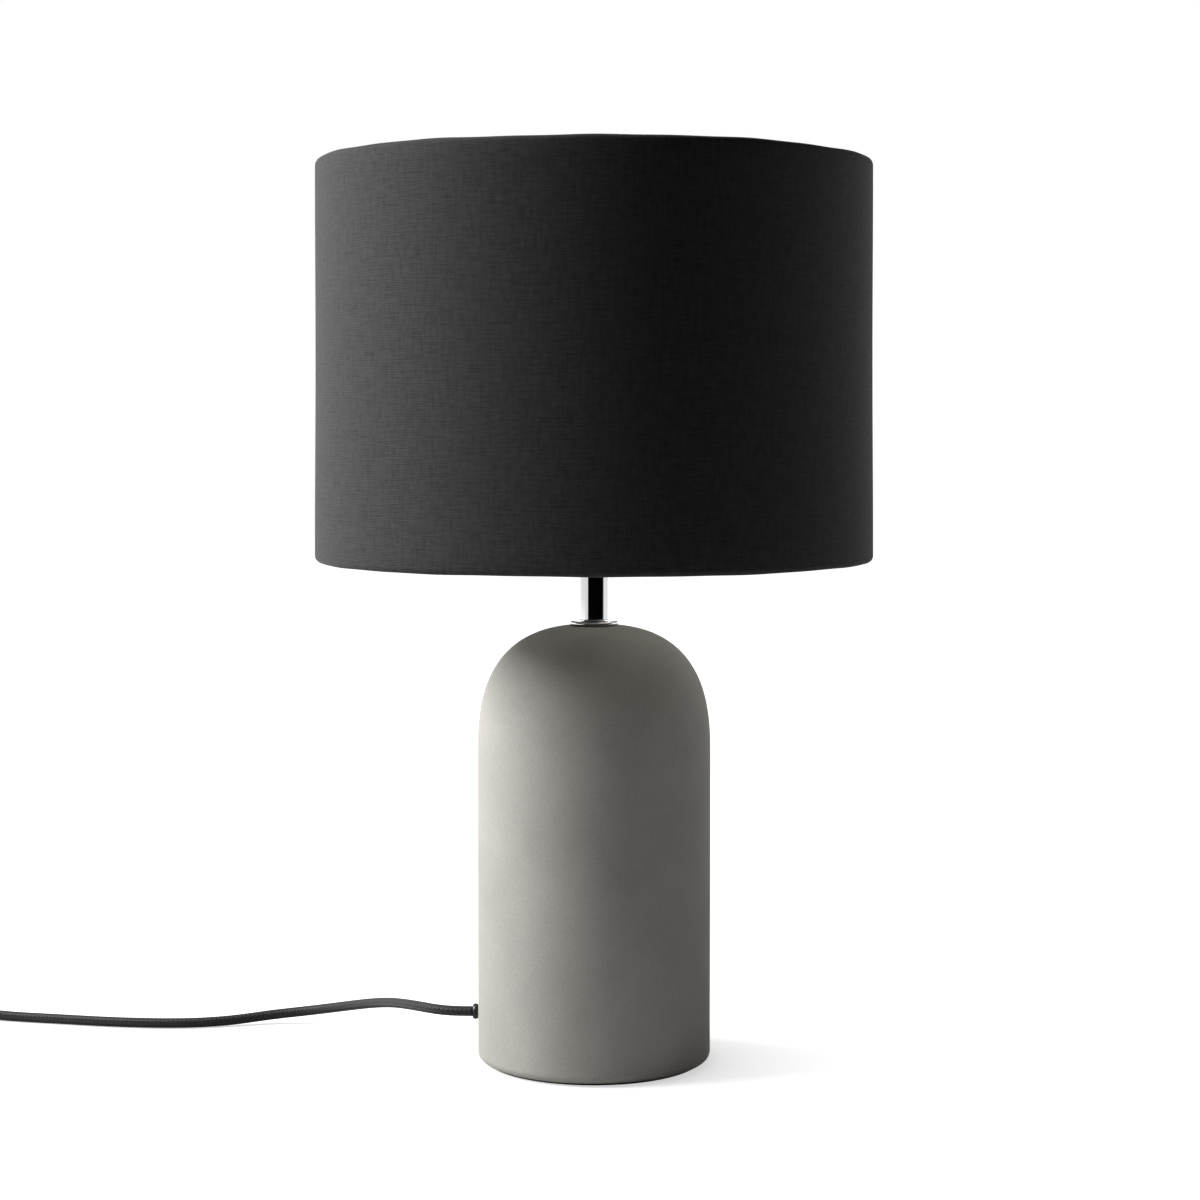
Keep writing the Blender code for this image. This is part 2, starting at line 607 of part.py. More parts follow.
def inner_cord():
    stop_start = -wall_inside + BUSHING_INSIDE + GAP
    bushing_outer = -BASE_DIAMETER / 2
    inner_end = BASE_WALL + BUSHING_INSIDE
    flange = bushing_sleeve + BUSHING_FLANGE_RIM
    outer_end = -GAP - BUSHING_FLANGE_THICKNESS
    profile = [(bushing_sleeve - 0.0004, inner_end), (bushing_sleeve, BASE_WALL), (bushing_sleeve, -GAP),
               (flange, -2 * GAP), (flange, outer_end / 2), (bushing_bore + 0.0006, outer_end),
               (bushing_bore, outer_end), (bushing_bore, inner_end)]
    bushing = turned("cord_bushing", profile, black_plastic)
    bushing.rotation_euler = (0.0, math.pi / 2, 0.0)
    bushing.location = (bushing_outer, 0.0, CORD_HEIGHT)
    collar = sleeve("cord_stop_collar", bushing_bore + STOP_COLLAR_WALL, bushing_bore, 0.0,
                    STOP_COLLAR_LENGTH, zinc)
    collar.rotation_euler = (0.0, math.pi / 2, 0.0)
    collar.location = (stop_start, 0.0, CORD_HEIGHT)
    run = [(bushing_outer - GAP - BUSHING_FLANGE_THICKNESS / 2, 0.0, CORD_HEIGHT),
           (stop_start, 0.0, CORD_HEIGHT), (stop_start + STOP_COLLAR_LENGTH, 0.0, CORD_HEIGHT),
           (-INNER_BEND / 2, 0.0, CORD_HEIGHT + INNER_BEND / 4),
           (-0.001, 0.0, CORD_HEIGHT + 1.2 * INNER_BEND), (0.0, 0.0, CORD_HEIGHT + 2 * INNER_BEND)]
    points = list(smooth_points(run, 2.5 * CORD_DIAMETER))
    points += [(0.0, 0.0, z) for z in np.linspace(CORD_HEIGHT + 2.5 * INNER_BEND, rod_high + GAP, 6)]
    tube("inner_cord", points, CORD_DIAMETER, braid, 2)
    for side, name, colour in ((1, "live_wire", brown_wire), (-1, "neutral_wire", blue_wire)):
        start = rod_high + CORE_DIAMETER / 2 + GAP
        across = CORE_DIAMETER / 2 + GAP
        end = TERMINAL_SPACING / 2 - TERMINAL_HEAD / 2 - 2 * GAP
        run = [(across, start), (across + 0.0005, start + 0.0008), (across + 0.0019, start + 0.0016),
               (end, start + 0.0019)]
        tube(name, [(side * x, 0.0, height) for x, height in run], CORE_DIAMETER, colour, 1)


# The free cord, its coil and its tie


def free_cord():
    tube("cord_base_to_switch", smooth_points(ROUTE_TO_SWITCH, 2.3 * CORD_DIAMETER), CORD_DIAMETER, braid)
    tube("cord_switch_to_coil", smooth_points(ROUTE_TO_COIL, 2 * CORD_DIAMETER), CORD_DIAMETER, braid)
    tube("cord_coil_to_plug", smooth_points(ROUTE_TO_PLUG, CORD_DIAMETER), CORD_DIAMETER, braid)
    middle = (COIL_INNER_RADIUS + COIL_OUTER_RADIUS) / 2
    half_width = (COIL_OUTER_RADIUS - COIL_INNER_RADIUS) / 2
    half_height = (COIL_TOP - COIL_BOTTOM) / 2
    corner = cord_radius
    section = []
    for across, up, start in ((1, 1, 90), (1, -1, 0), (-1, -1, -90), (-1, 1, -180)):
        for turn in (0, 45, 90):
            angle = math.radians(start - turn)
            height = COIL_BOTTOM + half_height + up * (half_height - corner) + corner * math.sin(angle)
            section.append((middle + across * (half_width - corner) + corner * math.cos(angle), height))
    coil = turned("cord_coil", section, braid, 36)
    coil.location = (COIL_PLACE[0], COIL_PLACE[1], 0.0)
    window = (2 * (half_width + GAP), 2 * (half_height + GAP))
    tie = box("coil_tie", (window[0] + 2 * TIE_THICKNESS, TIE_WIDTH, window[1] + 2 * TIE_THICKNESS),
              (0.0, 0.0, 0.0), black_plastic)
    opening = box("coil_tie_cutter", (window[0], 2 * TIE_WIDTH, window[1]), (0.0, 0.0, 0.0), None, cutters)
    cut(tie, opening)
    place = (COIL_PLACE[0] + middle * math.cos(TIE_ANGLE), COIL_PLACE[1] + middle * math.sin(TIE_ANGLE),
             COIL_BOTTOM + half_height)
    for piece in (tie, opening):
        piece.location = place
        piece.rotation_euler = (0.0, 0.0, TIE_ANGLE)


# The in-line switch, modelled along its own X axis, with the table at z = 0


rocker_axis_z = SWITCH_HEIGHT - 0.0036


def oval(length, width, count=28):
    points = []
    for i in range(count):
        along, across = math.cos(2 * math.pi * i / count), math.sin(2 * math.pi * i / count)
        points.append((length / 2 * math.copysign(abs(along) ** (2 / SWITCH_OVAL), along),
                       width / 2 * math.copysign(abs(across) ** (2 / SWITCH_OVAL), across)))
    return points


def switch_shells():
    low_top = switch_middle - GAP / 2
    high_low = switch_middle + GAP / 2
    whole = oval(SWITCH_LENGTH, SWITCH_WIDTH)
    inside = oval(SWITCH_LENGTH - 2 * SWITCH_WALL, SWITCH_WIDTH - 2 * SWITCH_WALL)
    floor = SWITCH_FOOT + SWITCH_WALL
    lower = outline("switch_lower_shell", whole, SWITCH_FOOT, low_top, black_plastic)
    upper = outline("switch_upper_shell", whole, high_low, SWITCH_HEIGHT, black_plastic)
    hollow_low = outline("switch_lower_cutter", inside, floor, switch_middle + 0.002, None,
                         collection=cutters)
    hollow_high = outline("switch_upper_cutter", inside, switch_middle - 0.002,
                          SWITCH_HEIGHT - SWITCH_WALL, None, collection=cutters)
    cut(lower, hollow_low)
    cut(upper, hollow_high)
    pieces = [lower, upper, hollow_low, hollow_high]
    shank = SWITCH_SCREW_DIAMETER / 2
    head = SWITCH_SCREW_HEAD / 2
    along = 2 * SWITCH_SCREW_SPREAD / SWITCH_LENGTH
    half_width = SWITCH_WIDTH / 2 * (1 - along ** SWITCH_OVAL) ** (1 / SWITCH_OVAL)
    boss_y = half_width - SWITCH_WALL - shank - SWITCH_BOSS_WALL
    for side in (-1, 1):
        boss = rod(f"switch_boss_{side}", shank + SWITCH_BOSS_WALL, 0.001, low_top - 0.0001, None, 16,
                   collection=cutters)
        top_boss = rod(f"switch_top_boss_{side}", shank + SWITCH_BOSS_WALL, high_low + 0.0001,
                       SWITCH_HEIGHT - 0.0005, None, 16, collection=cutters)
        drill_top = SWITCH_HEIGHT - 0.004
        drill = turned(f"switch_drill_{side}", [
            (0.0, drill_top), (shank + GAP, drill_top), (shank + GAP, 0.0028), (head + GAP, 0.0028),
            (head + GAP, -0.001), (0.0, -0.001)], None, 16, closed=False, collection=cutters)
        name = "switch_screw_plug_side" if side > 0 else "switch_screw_base_side"
        tip = drill_top - 0.0005
        screw = turned(name, [(0.0, tip), (shank, tip), (shank, 0.0025), (head, 0.0025),
                              (head, 0.0008), (0.0, 0.0008)], zinc, 16, closed=False)
        for piece in (boss, top_boss, drill, screw):
            piece.location.x, piece.location.y = side * SWITCH_SCREW_SPREAD, side * boss_y
        cut(lower, boss, "UNION")
        cut(lower, drill)
        cut(upper, top_boss, "UNION")
        cut(upper, drill)
        pieces += [boss, top_boss, drill, screw]
    window = box("rocker_window_cutter", (ROCKER_LENGTH + 0.0012, ROCKER_WIDTH + 0.0008, 0.010),
                 (0.0, 0.0, SWITCH_HEIGHT), None, cutters)
    cut(upper, window)
    pieces.append(window)
    bearing_y = ROCKER_WIDTH / 2 + 0.0004 + SWITCH_WALL / 2
    for side in (-1, 1):
        bearing = box(f"rocker_bearing_{side}", (0.007, SWITCH_WALL, 0.006),
                      (0.0, side * bearing_y, SWITCH_HEIGHT - 0.0036), None, cutters)
        cut(upper, bearing, "UNION")
        pieces.append(bearing)
    seat = rod("rocker_seat_cutter", ROCKER_TRUNNION / 2 + 0.0002, -0.0085, 0.0085, None, 20,
               collection=cutters)
    seat.rotation_euler = (math.pi / 2, 0.0, 0.0)
    seat.location = (0.0, 0.0, rocker_axis_z)
    cut(upper, seat)
    pieces.append(seat)
    for side, name in ((-1, "switch_terminal_in"), (1, "switch_terminal_out")):
        pieces.append(box(name, (0.008, 0.006, 0.004),
                          (side * 0.0125, 0.0, floor + GAP + 0.002), brass))
    return pieces


def rocker():
    half = ROCKER_LENGTH / 2
    ends = 0.0034
    ridge = ends + half * math.tan(ROCKER_TILT) * 0.4
    profile = [(-half, -0.0020), (half, -0.0020), (half, ends), (0.0, ridge), (-half, ends)]
    key = outline("switch_rocker", profile, -ROCKER_WIDTH / 2, ROCKER_WIDTH / 2, black_plastic)
    key.data.transform(Matrix.Rotation(math.pi / 2, 4, "X"))
    trunnion = rod("rocker_trunnion", ROCKER_TRUNNION / 2, -0.0073, 0.0073, None, 20, collection=cutters)
    trunnion.rotation_euler = (math.pi / 2, 0.0, 0.0)
    cut(key, trunnion, "UNION")
    blade = box("switch_contact", (0.015, 0.004, 0.0006), (0.0, 0.0, -0.0020 - GAP - 0.0003), brass)
    return [key, blade], trunnion


# The flat two-pin plug, modelled along its own X axis, pins towards +X


def plug():
    half, side = PLUG_LENGTH / 2, PLUG_WIDTH / 2
    points = [(half, side - 0.002), (half - 0.002, side), (half - 0.014, side), (half - 0.024, side - 0.005),
              (-half, 0.0075)]
    points += [(x, -y) for x, y in reversed(points)]
    body = outline("plug_body", points[::-1], SWITCH_FOOT, PLUG_THICKNESS, black_plastic, bevel=0.0018)
    relief = [(0.0, 0.004), (0.0052, 0.004), (0.0052, 0.0)]
    ribs = 5
    for i in range(ribs):
        low = -PLUG_RELIEF_LENGTH * (i + 1) / ribs
        radius = 0.0050 - 0.0012 * i / (ribs - 1)
        groove = radius - 0.0007
        relief += [(radius, low + 0.0045), (radius, low + 0.0018), (groove, low + 0.0016), (groove, low)]
    relief += [(0.0, -PLUG_RELIEF_LENGTH)]
    neck = turned("plug_relief", relief, None, 20, closed=False, collection=cutters)
    neck.rotation_euler = (0.0, math.pi / 2, 0.0)
    neck.location = (-half, 0.0, plug_middle)
    cut(body, neck, "UNION")
    pieces = [body, neck]
    for number, across in ((1, PIN_SPACING / 2), (2, -PIN_SPACING / 2)):
        socket = rod(f"plug_pin_cutter_{number}", PIN_DIAMETER / 2 + GAP, -PIN_ROOT - GAP, 0.002, None, 16,
                     collection=cutters)
        pin = turned(f"plug_pin_{number}", [
            (0.0, PIN_LENGTH), (PIN_DIAMETER / 4, PIN_LENGTH), (PIN_DIAMETER / 2, PIN_LENGTH - 0.001),
            (PIN_DIAMETER / 2, -PIN_ROOT), (0.0, -PIN_ROOT)], zinc, 16, closed=False)
        for piece in (socket, pin):
            piece.rotation_euler = (0.0, math.pi / 2, 0.0)
            piece.location = (half, across, plug_middle)
            pieces.append(piece)
        cut(body, socket)
    return pieces


base()
stem()
holder()
ring_axis = axis_empty("shade_ring_axis", (0.0, 0.0, ring_z))
parent_to(ring_axis, shade_ring())
shade_axis = axis_empty("shade_axis", (0.0, 0.0, fitter_z))
parent_to(shade_axis, shade())
bulb_axis = axis_empty("bulb_axis", (0.0, 0.0, bulb_z))
for group in bulb():
    parent_to(bulb_axis, group)
inner_cord()
free_cord()
switch_axis = axis_empty("switch_frame", (*SWITCH_PLACE, 0.0), SWITCH_TURN)
carry(switch_axis, switch_shells())
rocker_axis = axis_empty("rocker_axis", (0.0, 0.0, rocker_axis_z))
rocker_axis.parent = switch_axis
rocker_axis.rotation_euler = (0.0, -ROCKER_TILT, 0.0)
key_pieces, trunnion_helper = rocker()
carry(rocker_axis, key_pieces + [trunnion_helper])
plug_axis = axis_empty("plug_frame", (*PLUG_PLACE, 0.0), PLUG_TURN)
carry(plug_axis, plug())
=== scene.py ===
"""The looks of a table lamp: concrete base, chromed stem, black cotton drum shade and braided cord."""
import math

import bmesh
import bpy
import numpy as np
from mathutils import Matrix, Vector


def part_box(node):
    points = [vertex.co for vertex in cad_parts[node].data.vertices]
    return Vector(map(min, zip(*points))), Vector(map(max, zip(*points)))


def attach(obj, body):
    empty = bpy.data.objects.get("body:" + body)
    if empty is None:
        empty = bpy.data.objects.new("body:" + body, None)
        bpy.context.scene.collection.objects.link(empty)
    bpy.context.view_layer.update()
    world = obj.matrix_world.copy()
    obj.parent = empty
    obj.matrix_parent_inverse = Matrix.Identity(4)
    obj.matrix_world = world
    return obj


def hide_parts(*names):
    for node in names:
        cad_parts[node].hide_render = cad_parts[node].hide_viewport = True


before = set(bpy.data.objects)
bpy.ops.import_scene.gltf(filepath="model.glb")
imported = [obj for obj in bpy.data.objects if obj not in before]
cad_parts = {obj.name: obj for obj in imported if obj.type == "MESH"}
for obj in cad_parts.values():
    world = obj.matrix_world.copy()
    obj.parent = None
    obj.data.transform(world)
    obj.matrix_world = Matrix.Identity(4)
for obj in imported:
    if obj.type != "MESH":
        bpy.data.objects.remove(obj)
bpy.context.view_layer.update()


# ---- The camera -------------------------------------------------------------------------------
# A level camera stands 1.43 m in front of the lamp, a little above the middle of its height, with
# a long lens so that the shade's rims stay shallow curves.

camera_data = bpy.data.cameras.new("camera")
camera_data.sensor_width = 36.0
camera_data.lens = 79.4
camera_data.shift_y = -0.159
camera = bpy.data.objects.new("camera", camera_data)
camera.location = (0.0032, -1.430, 0.3508)
camera.rotation_euler = (math.radians(90), 0.0, 0.0)
bpy.context.scene.collection.objects.link(camera)
bpy.context.scene.camera = camera
bpy.context.scene.view_settings.view_transform = "Standard"


# ---- The braided cord -------------------------------------------------------------------------
# A two-core rubber-sheathed cable, 5.5 mm thick, under a black polyester braid of 16 carriers. It
# leaves the base low at the left, drops to the table in one loose curve and runs to the switch.

CORD = 0.0055


def linear(code):
    """A colour given as sRGB hex, in the renderer's linear values."""
    parts = [int(code[i:i + 2], 16) / 255 for i in (1, 3, 5)]
    return tuple(c / 12.92 if c <= 0.04045 else ((c + 0.055) / 1.055) ** 2.4 for c in parts) + (1.0,)


def node(tree, kind, inputs=None, **settings):
    """Adds a node with its settings; each input is a value, or the socket that feeds it."""
    made = tree.nodes.new(kind)
    for name, value in settings.items():
        setattr(made, name, value)
    for key, value in (inputs or {}).items():
        if isinstance(value, bpy.types.NodeSocket):
            tree.links.new(value, made.inputs[key])
        else:
            made.inputs[key].default_value = value
    return made


def finish(name, **shader):
    """A new material with its principled shader's own values set; returns it with its tree and shader."""
    made = bpy.data.materials.new(name)
    made.use_nodes = True
    principled = made.node_tree.nodes["Principled BSDF"]
    for key, value in shader.items():
        principled.inputs[key.replace("_", " ")].default_value = value
    return made, made.node_tree, principled


def tint(tree, shader, amount, dark, light):
    """Mixes two colours by an amount and feeds the shader's base colour."""
    mixed = node(tree, "ShaderNodeMix", {0: amount, 6: linear(dark), 7: linear(light)}, data_type="RGBA")
    tree.links.new(mixed.outputs[2], shader.inputs["Base Color"])


def emboss(tree, shader, height, depth):
    """Feeds a height from 0 to 1 to the shader's normal as a bump of that depth in metres."""
    bump = node(tree, "ShaderNodeBump", {"Strength": 1.0, "Distance": depth, "Height": height})
    tree.links.new(bump.outputs[0], shader.inputs["Normal"])


def nothing_selected():
    """Leaves edit mode and clears the selection."""
    if bpy.context.object and bpy.context.object.mode != "OBJECT":
        bpy.ops.object.mode_set(mode="OBJECT")
    bpy.ops.object.select_all(action="DESELECT")


def only(piece):
    """Selects one piece alone and makes it the active one."""
    nothing_selected()
    piece.select_set(True)
    bpy.context.view_layer.objects.active = piece


def smoothed(piece, degrees):
    """Shades a piece smooth, apart from its edges sharper than an angle."""
    only(piece)
    bpy.ops.object.shade_smooth_by_angle(angle=math.radians(degrees))


def fit(piece, name, surface, body, slot, *nodes):
    """Names a finished piece, gives it its material, and puts it in the place of its CAD nodes."""
    piece.name = piece.data.name = name
    piece.data.materials.clear()
    piece.data.materials.append(surface)
    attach(piece, body)
    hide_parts(*nodes)
    return piece


# Black polyester braid: each carrier is a flat bundle of yarn that goes over two and under two, so
# the surface is a field of small slanted ribs, with a soft sheen along them and dark gaps between.
RIBS_AROUND = 8.0
RIB_PITCH = 0.0024
braid, tree, shader = finish("Black_Braided_Polyester", Roughness=0.62, Sheen_Weight=0.25,
                             Sheen_Roughness=0.4)
place = node(tree, "ShaderNodeUVMap", uv_map="lie")
parts = node(tree, "ShaderNodeSeparateXYZ", {0: place.outputs[0]})
ribs = []
for sign in (1, -1):
    around = node(tree, "ShaderNodeMath", {0: parts.outputs[0], 1: RIBS_AROUND}, operation="MULTIPLY")
    along = node(tree, "ShaderNodeMath", {0: parts.outputs[1], 1: sign / RIB_PITCH},
                 operation="MULTIPLY")
    slant = node(tree, "ShaderNodeMath", {0: around.outputs[0], 1: along.outputs[0]}, operation="ADD")
    phase = node(tree, "ShaderNodeMath", {0: slant.outputs[0], 1: math.pi}, operation="MULTIPLY")
    wave = node(tree, "ShaderNodeMath", {0: phase.outputs[0]}, operation="SINE")
    rib = node(tree, "ShaderNodeMath", {0: wave.outputs[0]}, operation="ABSOLUTE")
    step = node(tree, "ShaderNodeMath", {0: slant.outputs[0]}, operation="FLOOR")
    ribs.append((rib.outputs[0], step.outputs[0]))
both = node(tree, "ShaderNodeMath", {0: ribs[0][1], 1: ribs[1][1]}, operation="ADD")
over = node(tree, "ShaderNodeMath", {0: both.outputs[0], 1: 2.0}, operation="FLOORED_MODULO")
weave = node(tree, "ShaderNodeMix", {0: over.outputs[0], 2: ribs[0][0], 3: ribs[1][0]},
             data_type="FLOAT")
# Painted sheen and painted shade: the colour is lighter on the ribs' crests and darker in the gaps
# between them, following the relief.
tint(tree, shader, weave.outputs[0], "#050506", "#252527")
emboss(tree, shader, weave.outputs[0], 0.0003)


def smooth_line(route, spacing):
    """Points a spacing apart along the natural cubic curve through the route's points."""
    knots = np.array(route, dtype=float)
    lengths = np.linalg.norm(np.diff(knots, axis=0), axis=1) ** 0.5
    times = np.concatenate([[0.0], np.cumsum(lengths)])
    count = len(knots)
    matrix = np.eye(count)
    right = np.zeros_like(knots)
    for i in range(1, count - 1):
        before, after = lengths[i - 1], lengths[i]
        matrix[i, i - 1:i + 2] = before, 2 * (before + after), after
        right[i] = 6 * ((knots[i + 1] - knots[i]) / after - (knots[i] - knots[i - 1]) / before)
    bends = np.linalg.solve(matrix, right)
    total = np.linalg.norm(np.diff(knots, axis=0), axis=1).sum()
    sampled = np.linspace(0.0, times[-1], round(total / spacing) + 1)
    span = np.clip(np.searchsorted(times, sampled, "right") - 1, 0, count - 2)
    width = lengths[span][:, None]
    to_end = (times[span + 1] - sampled)[:, None]
    from_start = (sampled - times[span])[:, None]
    curve = (bends[span] * to_end ** 3 + bends[span + 1] * from_start ** 3) / (6 * width)
    curve += (knots[span] / width - bends[span] * width / 6) * to_end
    curve += (knots[span + 1] / width - bends[span + 1] * width / 6) * from_start
    return [Vector(p) for p in curve]


def swept(points, diameter, sides=14):
    """A closed tube along the points, with a UV map of turns around and metres along."""
    made = bmesh.new()
    lie = made.loops.layers.uv.new("lie")
    side = Vector((0, 0, 1))
    rings, travelled = [], [0.0]
    for i, point in enumerate(points):
        ahead = (points[min(i + 1, len(points) - 1)] - points[max(i - 1, 0)]).normalized()
        side = (side - ahead * side.dot(ahead)).normalized()
        across = ahead.cross(side)
        turns = [2 * math.pi * k / sides for k in range(sides)]
        rings.append([made.verts.new(point + (side * math.cos(a) + across * math.sin(a)) * diameter / 2)
                      for a in turns])
        if i:
            travelled.append(travelled[-1] + (point - points[i - 1]).length)
    for i in range(len(rings) - 1):
        for k in range(sides):
            corners = ((i, k), (i, k + 1), (i + 1, k + 1), (i + 1, k))
            face = made.faces.new([rings[a][b % sides] for a, b in corners])
            face.smooth = True
            for loop, (a, b) in zip(face.loops, corners):
                loop[lie].uv = (b / sides, travelled[a])
    made.faces.new(rings[0][::-1])
    made.faces.new(rings[-1])
    bmesh.ops.recalc_face_normals(made, faces=made.faces)
    mesh = bpy.data.meshes.new("cord")
    made.to_mesh(mesh)
    made.free()
    piece = bpy.data.objects.new("cord", mesh)
    bpy.context.scene.collection.objects.link(piece)
    return piece


first_route = [
    (-0.0646, 0.0000, 0.0256), (-0.0800, 0.0020, 0.0256), (-0.0925, 0.0105, 0.0254),
    (-0.1030, 0.0230, 0.0242), (-0.1130, 0.0370, 0.0219), (-0.1235, 0.0505, 0.0186),
    (-0.1355, 0.0630, 0.0147), (-0.1495, 0.0740, 0.0106), (-0.1655, 0.0810, 0.0072),
    (-0.1840, 0.0815, 0.0050), (-0.2030, 0.0765, 0.0035), (-0.2230, 0.0718, 0.0029),
    (-0.2460, 0.0703, 0.0029), (-0.2760, 0.0737, 0.0029), (-0.3080, 0.0807, 0.0029),
    (-0.3380, 0.0879, 0.0030), (-0.3530, 0.0908, 0.0046), (-0.3650, 0.0928, 0.0076),
    (-0.3752, 0.0942, 0.0088)]
first_line = smooth_line(first_route, 0.0025)
first_cord = fit(swept(first_line, CORD), "Cord_From_Base", braid, "lamp", "braid",
                 "cord_base_to_switch")

# Beyond the switch the rest of the cord is wound for storage: two layers of turns, inwards below and
# outwards above, each turn one cord's width from the next, and then out to the plug.

COIL = Vector((-0.458, 0.052, 0.0))
OUTER_TURN, LOW_LAYER = 0.0415, 0.00395
INNER_TURN, HIGH_LAYER = OUTER_TURN - 3.5 * CORD, LOW_LAYER + CORD
STEP_OUT = 0.00125
second_route = [(-0.4408, 0.1058, 0.0088), (-0.4490, 0.1066, 0.0083), (-0.4580, 0.1060, 0.0069),
                (-0.4672, 0.1028, 0.0055), (-0.4753, 0.0994, 0.0047), (-0.4822, 0.0934, 0.0043),
                (-0.4880, 0.0888, 0.0041)]
winding = [(150, 0.0446, LOW_LAYER), (170, 0.0425, LOW_LAYER)]
winding += [(190 + a, OUTER_TURN - CORD * a / 360, LOW_LAYER) for a in range(0, 1261, 30)]
winding += [(1450 + a, INNER_TURN + STEP_OUT * a / 180,
             LOW_LAYER + CORD * (1 - math.cos(math.radians(a))) / 2) for a in range(30, 181, 30)]
winding += [(1630 + a, INNER_TURN + STEP_OUT + CORD * a / 360, HIGH_LAYER)
            for a in range(30, 1081, 30)]
second_route += [(COIL.x + r * math.cos(math.radians(a)),
                  COIL.y + r * math.sin(math.radians(a)), z) for a, r, z in winding]
second_route += [(-0.49655, 0.0385, 0.00945), (-0.4963, 0.0310, 0.0092), (-0.4963, 0.0235, 0.0084),
                 (-0.4955, 0.0190, 0.0079), (-0.4947, 0.0140, 0.0073), (-0.4944, 0.0103, 0.0069)]
second_line = smooth_line(second_route, 0.003)
second_cord = fit(swept(second_line, CORD, 12), "Cord_Coiled", braid, "lamp", "braid",
                  "cord_switch_to_coil", "cord_coil", "cord_coil_to_plug")


# ---- The concrete base ------------------------------------------------------------------------
# One hollow casting in fine fibre-reinforced concrete, sealed with a matt varnish. Its straight side
# runs into a domed top, and the foot's edge is eased where the mould's parting was rubbed down.

BASE_RADIUS = 0.0628
SHOULDER = 0.165
CROWN = 0.2345
FOOT = 0.0013
WALL_RADIUS = 0.0498
WALL_RISE = 0.0565
ROD_HOLE = 0.0054
EXIT_HEIGHT = 0.0256
EXIT_HOLE = 0.00425
SQUARENESS = 2 / 2.65


def turned(rings, sides=96, smooth=40):
    """A closed piece turned about the Z axis: a circle extruded and resized through (radius, height).
    A long run gets a ring close to each end, so the smooth shading of an edge stays at the edge."""
    nothing_selected()
    held = []
    for (r0, z0), (r1, z1) in zip(rings, rings[1:] + rings[:1]):
        held.append((r0, z0))
        length = math.hypot(r1 - r0, z1 - z0)
        if length > 0.002:
            near = 0.0003 / length
            held += [(r0 + (r1 - r0) * t, z0 + (z1 - z0) * t) for t in (near, 1 - near)]
    rings = [(max(r, 0.00001), z) for r, z in held]
    bpy.ops.mesh.primitive_circle_add(vertices=sides, radius=rings[0][0], location=(0, 0, rings[0][1]))
    piece = bpy.context.object
    bpy.ops.object.transform_apply(location=True)
    bpy.ops.object.mode_set(mode="EDIT")
    bpy.ops.mesh.select_all(action="SELECT")
    for (r0, z0), (r1, z1) in zip(rings, rings[1:] + rings[:1]):
        bpy.ops.mesh.extrude_edges_move(TRANSFORM_OT_translate={"value": (0, 0, z1 - z0)})
        bpy.ops.transform.resize(value=(r1 / r0, r1 / r0, 1), center_override=(0, 0, 0))
    bpy.ops.mesh.select_all(action="SELECT")
    bpy.ops.mesh.remove_doubles(threshold=0.00004)
    bpy.ops.mesh.normals_make_consistent(inside=False)
    smoothed(piece, smooth)
    return piece


def arc(radius, height, size, start, stop, steps=6):
    """Ring sizes around a rounded edge, from one angle to another in degrees above the outward line."""
    angles = [math.radians(start + (stop - start) * i / steps) for i in range(steps + 1)]
    return [(radius + size * math.cos(a), height + size * math.sin(a)) for a in angles]


def dome(radius, rise, steps, shown):
    """Ring sizes up a dome from the shoulder, a little squarer than an ellipse: the steps shown."""
    angles = [math.pi / 2 * i / steps for i in range(shown)]
    return [(radius * math.cos(a) ** SQUARENESS, SHOULDER + rise * math.sin(a) ** SQUARENESS)
            for a in angles]


def laid(piece, place, axis, degrees=90):
    """Turns a piece about an axis through the origin, then moves it to its place."""
    piece.data.transform(Matrix.Translation(place)
                         @ Matrix.Rotation(math.radians(degrees), 4, axis))
    return piece


def cut_away(piece, helper, operation="DIFFERENCE"):
    """Applies a boolean with a helper, and removes the helper."""
    only(piece)
    step = piece.modifiers.new("cut", "BOOLEAN")
    step.operation = operation
    step.object = helper
    bpy.ops.object.modifier_apply(modifier=step.name)
    bpy.data.objects.remove(helper)


crown = dome(BASE_RADIUS, CROWN - SHOULDER, 36, 36)
inside = dome(WALL_RADIUS, WALL_RISE, 14, 12)
seat = max(z for r, z in inside)
rings = [(ROD_HOLE, CROWN - 0.0001)] + crown[::-1]
rings += [(BASE_RADIUS - 0.0001, 0.1), (BASE_RADIUS - 0.0002, 0.05)]
rings += arc(0.0585, FOOT + 0.004, 0.004, 0, -90)
rings += [(0.0533, FOOT), (0.0533, 0.0046), (WALL_RADIUS, 0.0046)] + inside + [(ROD_HOLE, seat)]
casting = turned(rings, 128)
drill = turned([(0, -0.03), (EXIT_HOLE, -0.03), (EXIT_HOLE, 0.03), (0, 0.03)], 48)
cut_away(casting, laid(drill, (-0.057, 0, EXIT_HEIGHT), "Y"))
smoothed(casting, 40)

# Sealed greige concrete: a matt skin with broad, faint clouds from the pour, a fine sandy grain under
# the varnish, and a few closed pinholes where air met the mould.
concrete, tree, shader = finish("Sealed_Cast_Concrete", Roughness=0.78, Specular_IOR_Level=0.3)
place = node(tree, "ShaderNodeTexCoord")
clouds = node(tree, "ShaderNodeTexNoise", {"Vector": place.outputs["Object"], "Scale": 22.0,
                                           "Detail": 5.0, "Roughness": 0.55, "Distortion": 0.6})
grain = node(tree, "ShaderNodeTexNoise", {"Vector": place.outputs["Object"], "Scale": 900.0,
                                          "Detail": 3.0})
holes = node(tree, "ShaderNodeTexVoronoi", {"Vector": place.outputs["Object"], "Scale": 60.0})
pits = node(tree, "ShaderNodeMapRange", {"Value": holes.outputs["Distance"], "From Min": 0.015,
                                         "From Max": 0.045, "To Min": 0.0, "To Max": 1.0})
spread = node(tree, "ShaderNodeMapRange", {"Value": clouds.outputs[0], "From Min": 0.3,
                                           "From Max": 0.7})
speck = node(tree, "ShaderNodeMath", {0: grain.outputs[0], 1: 1.5, 2: -0.57},
             operation="MULTIPLY_ADD")
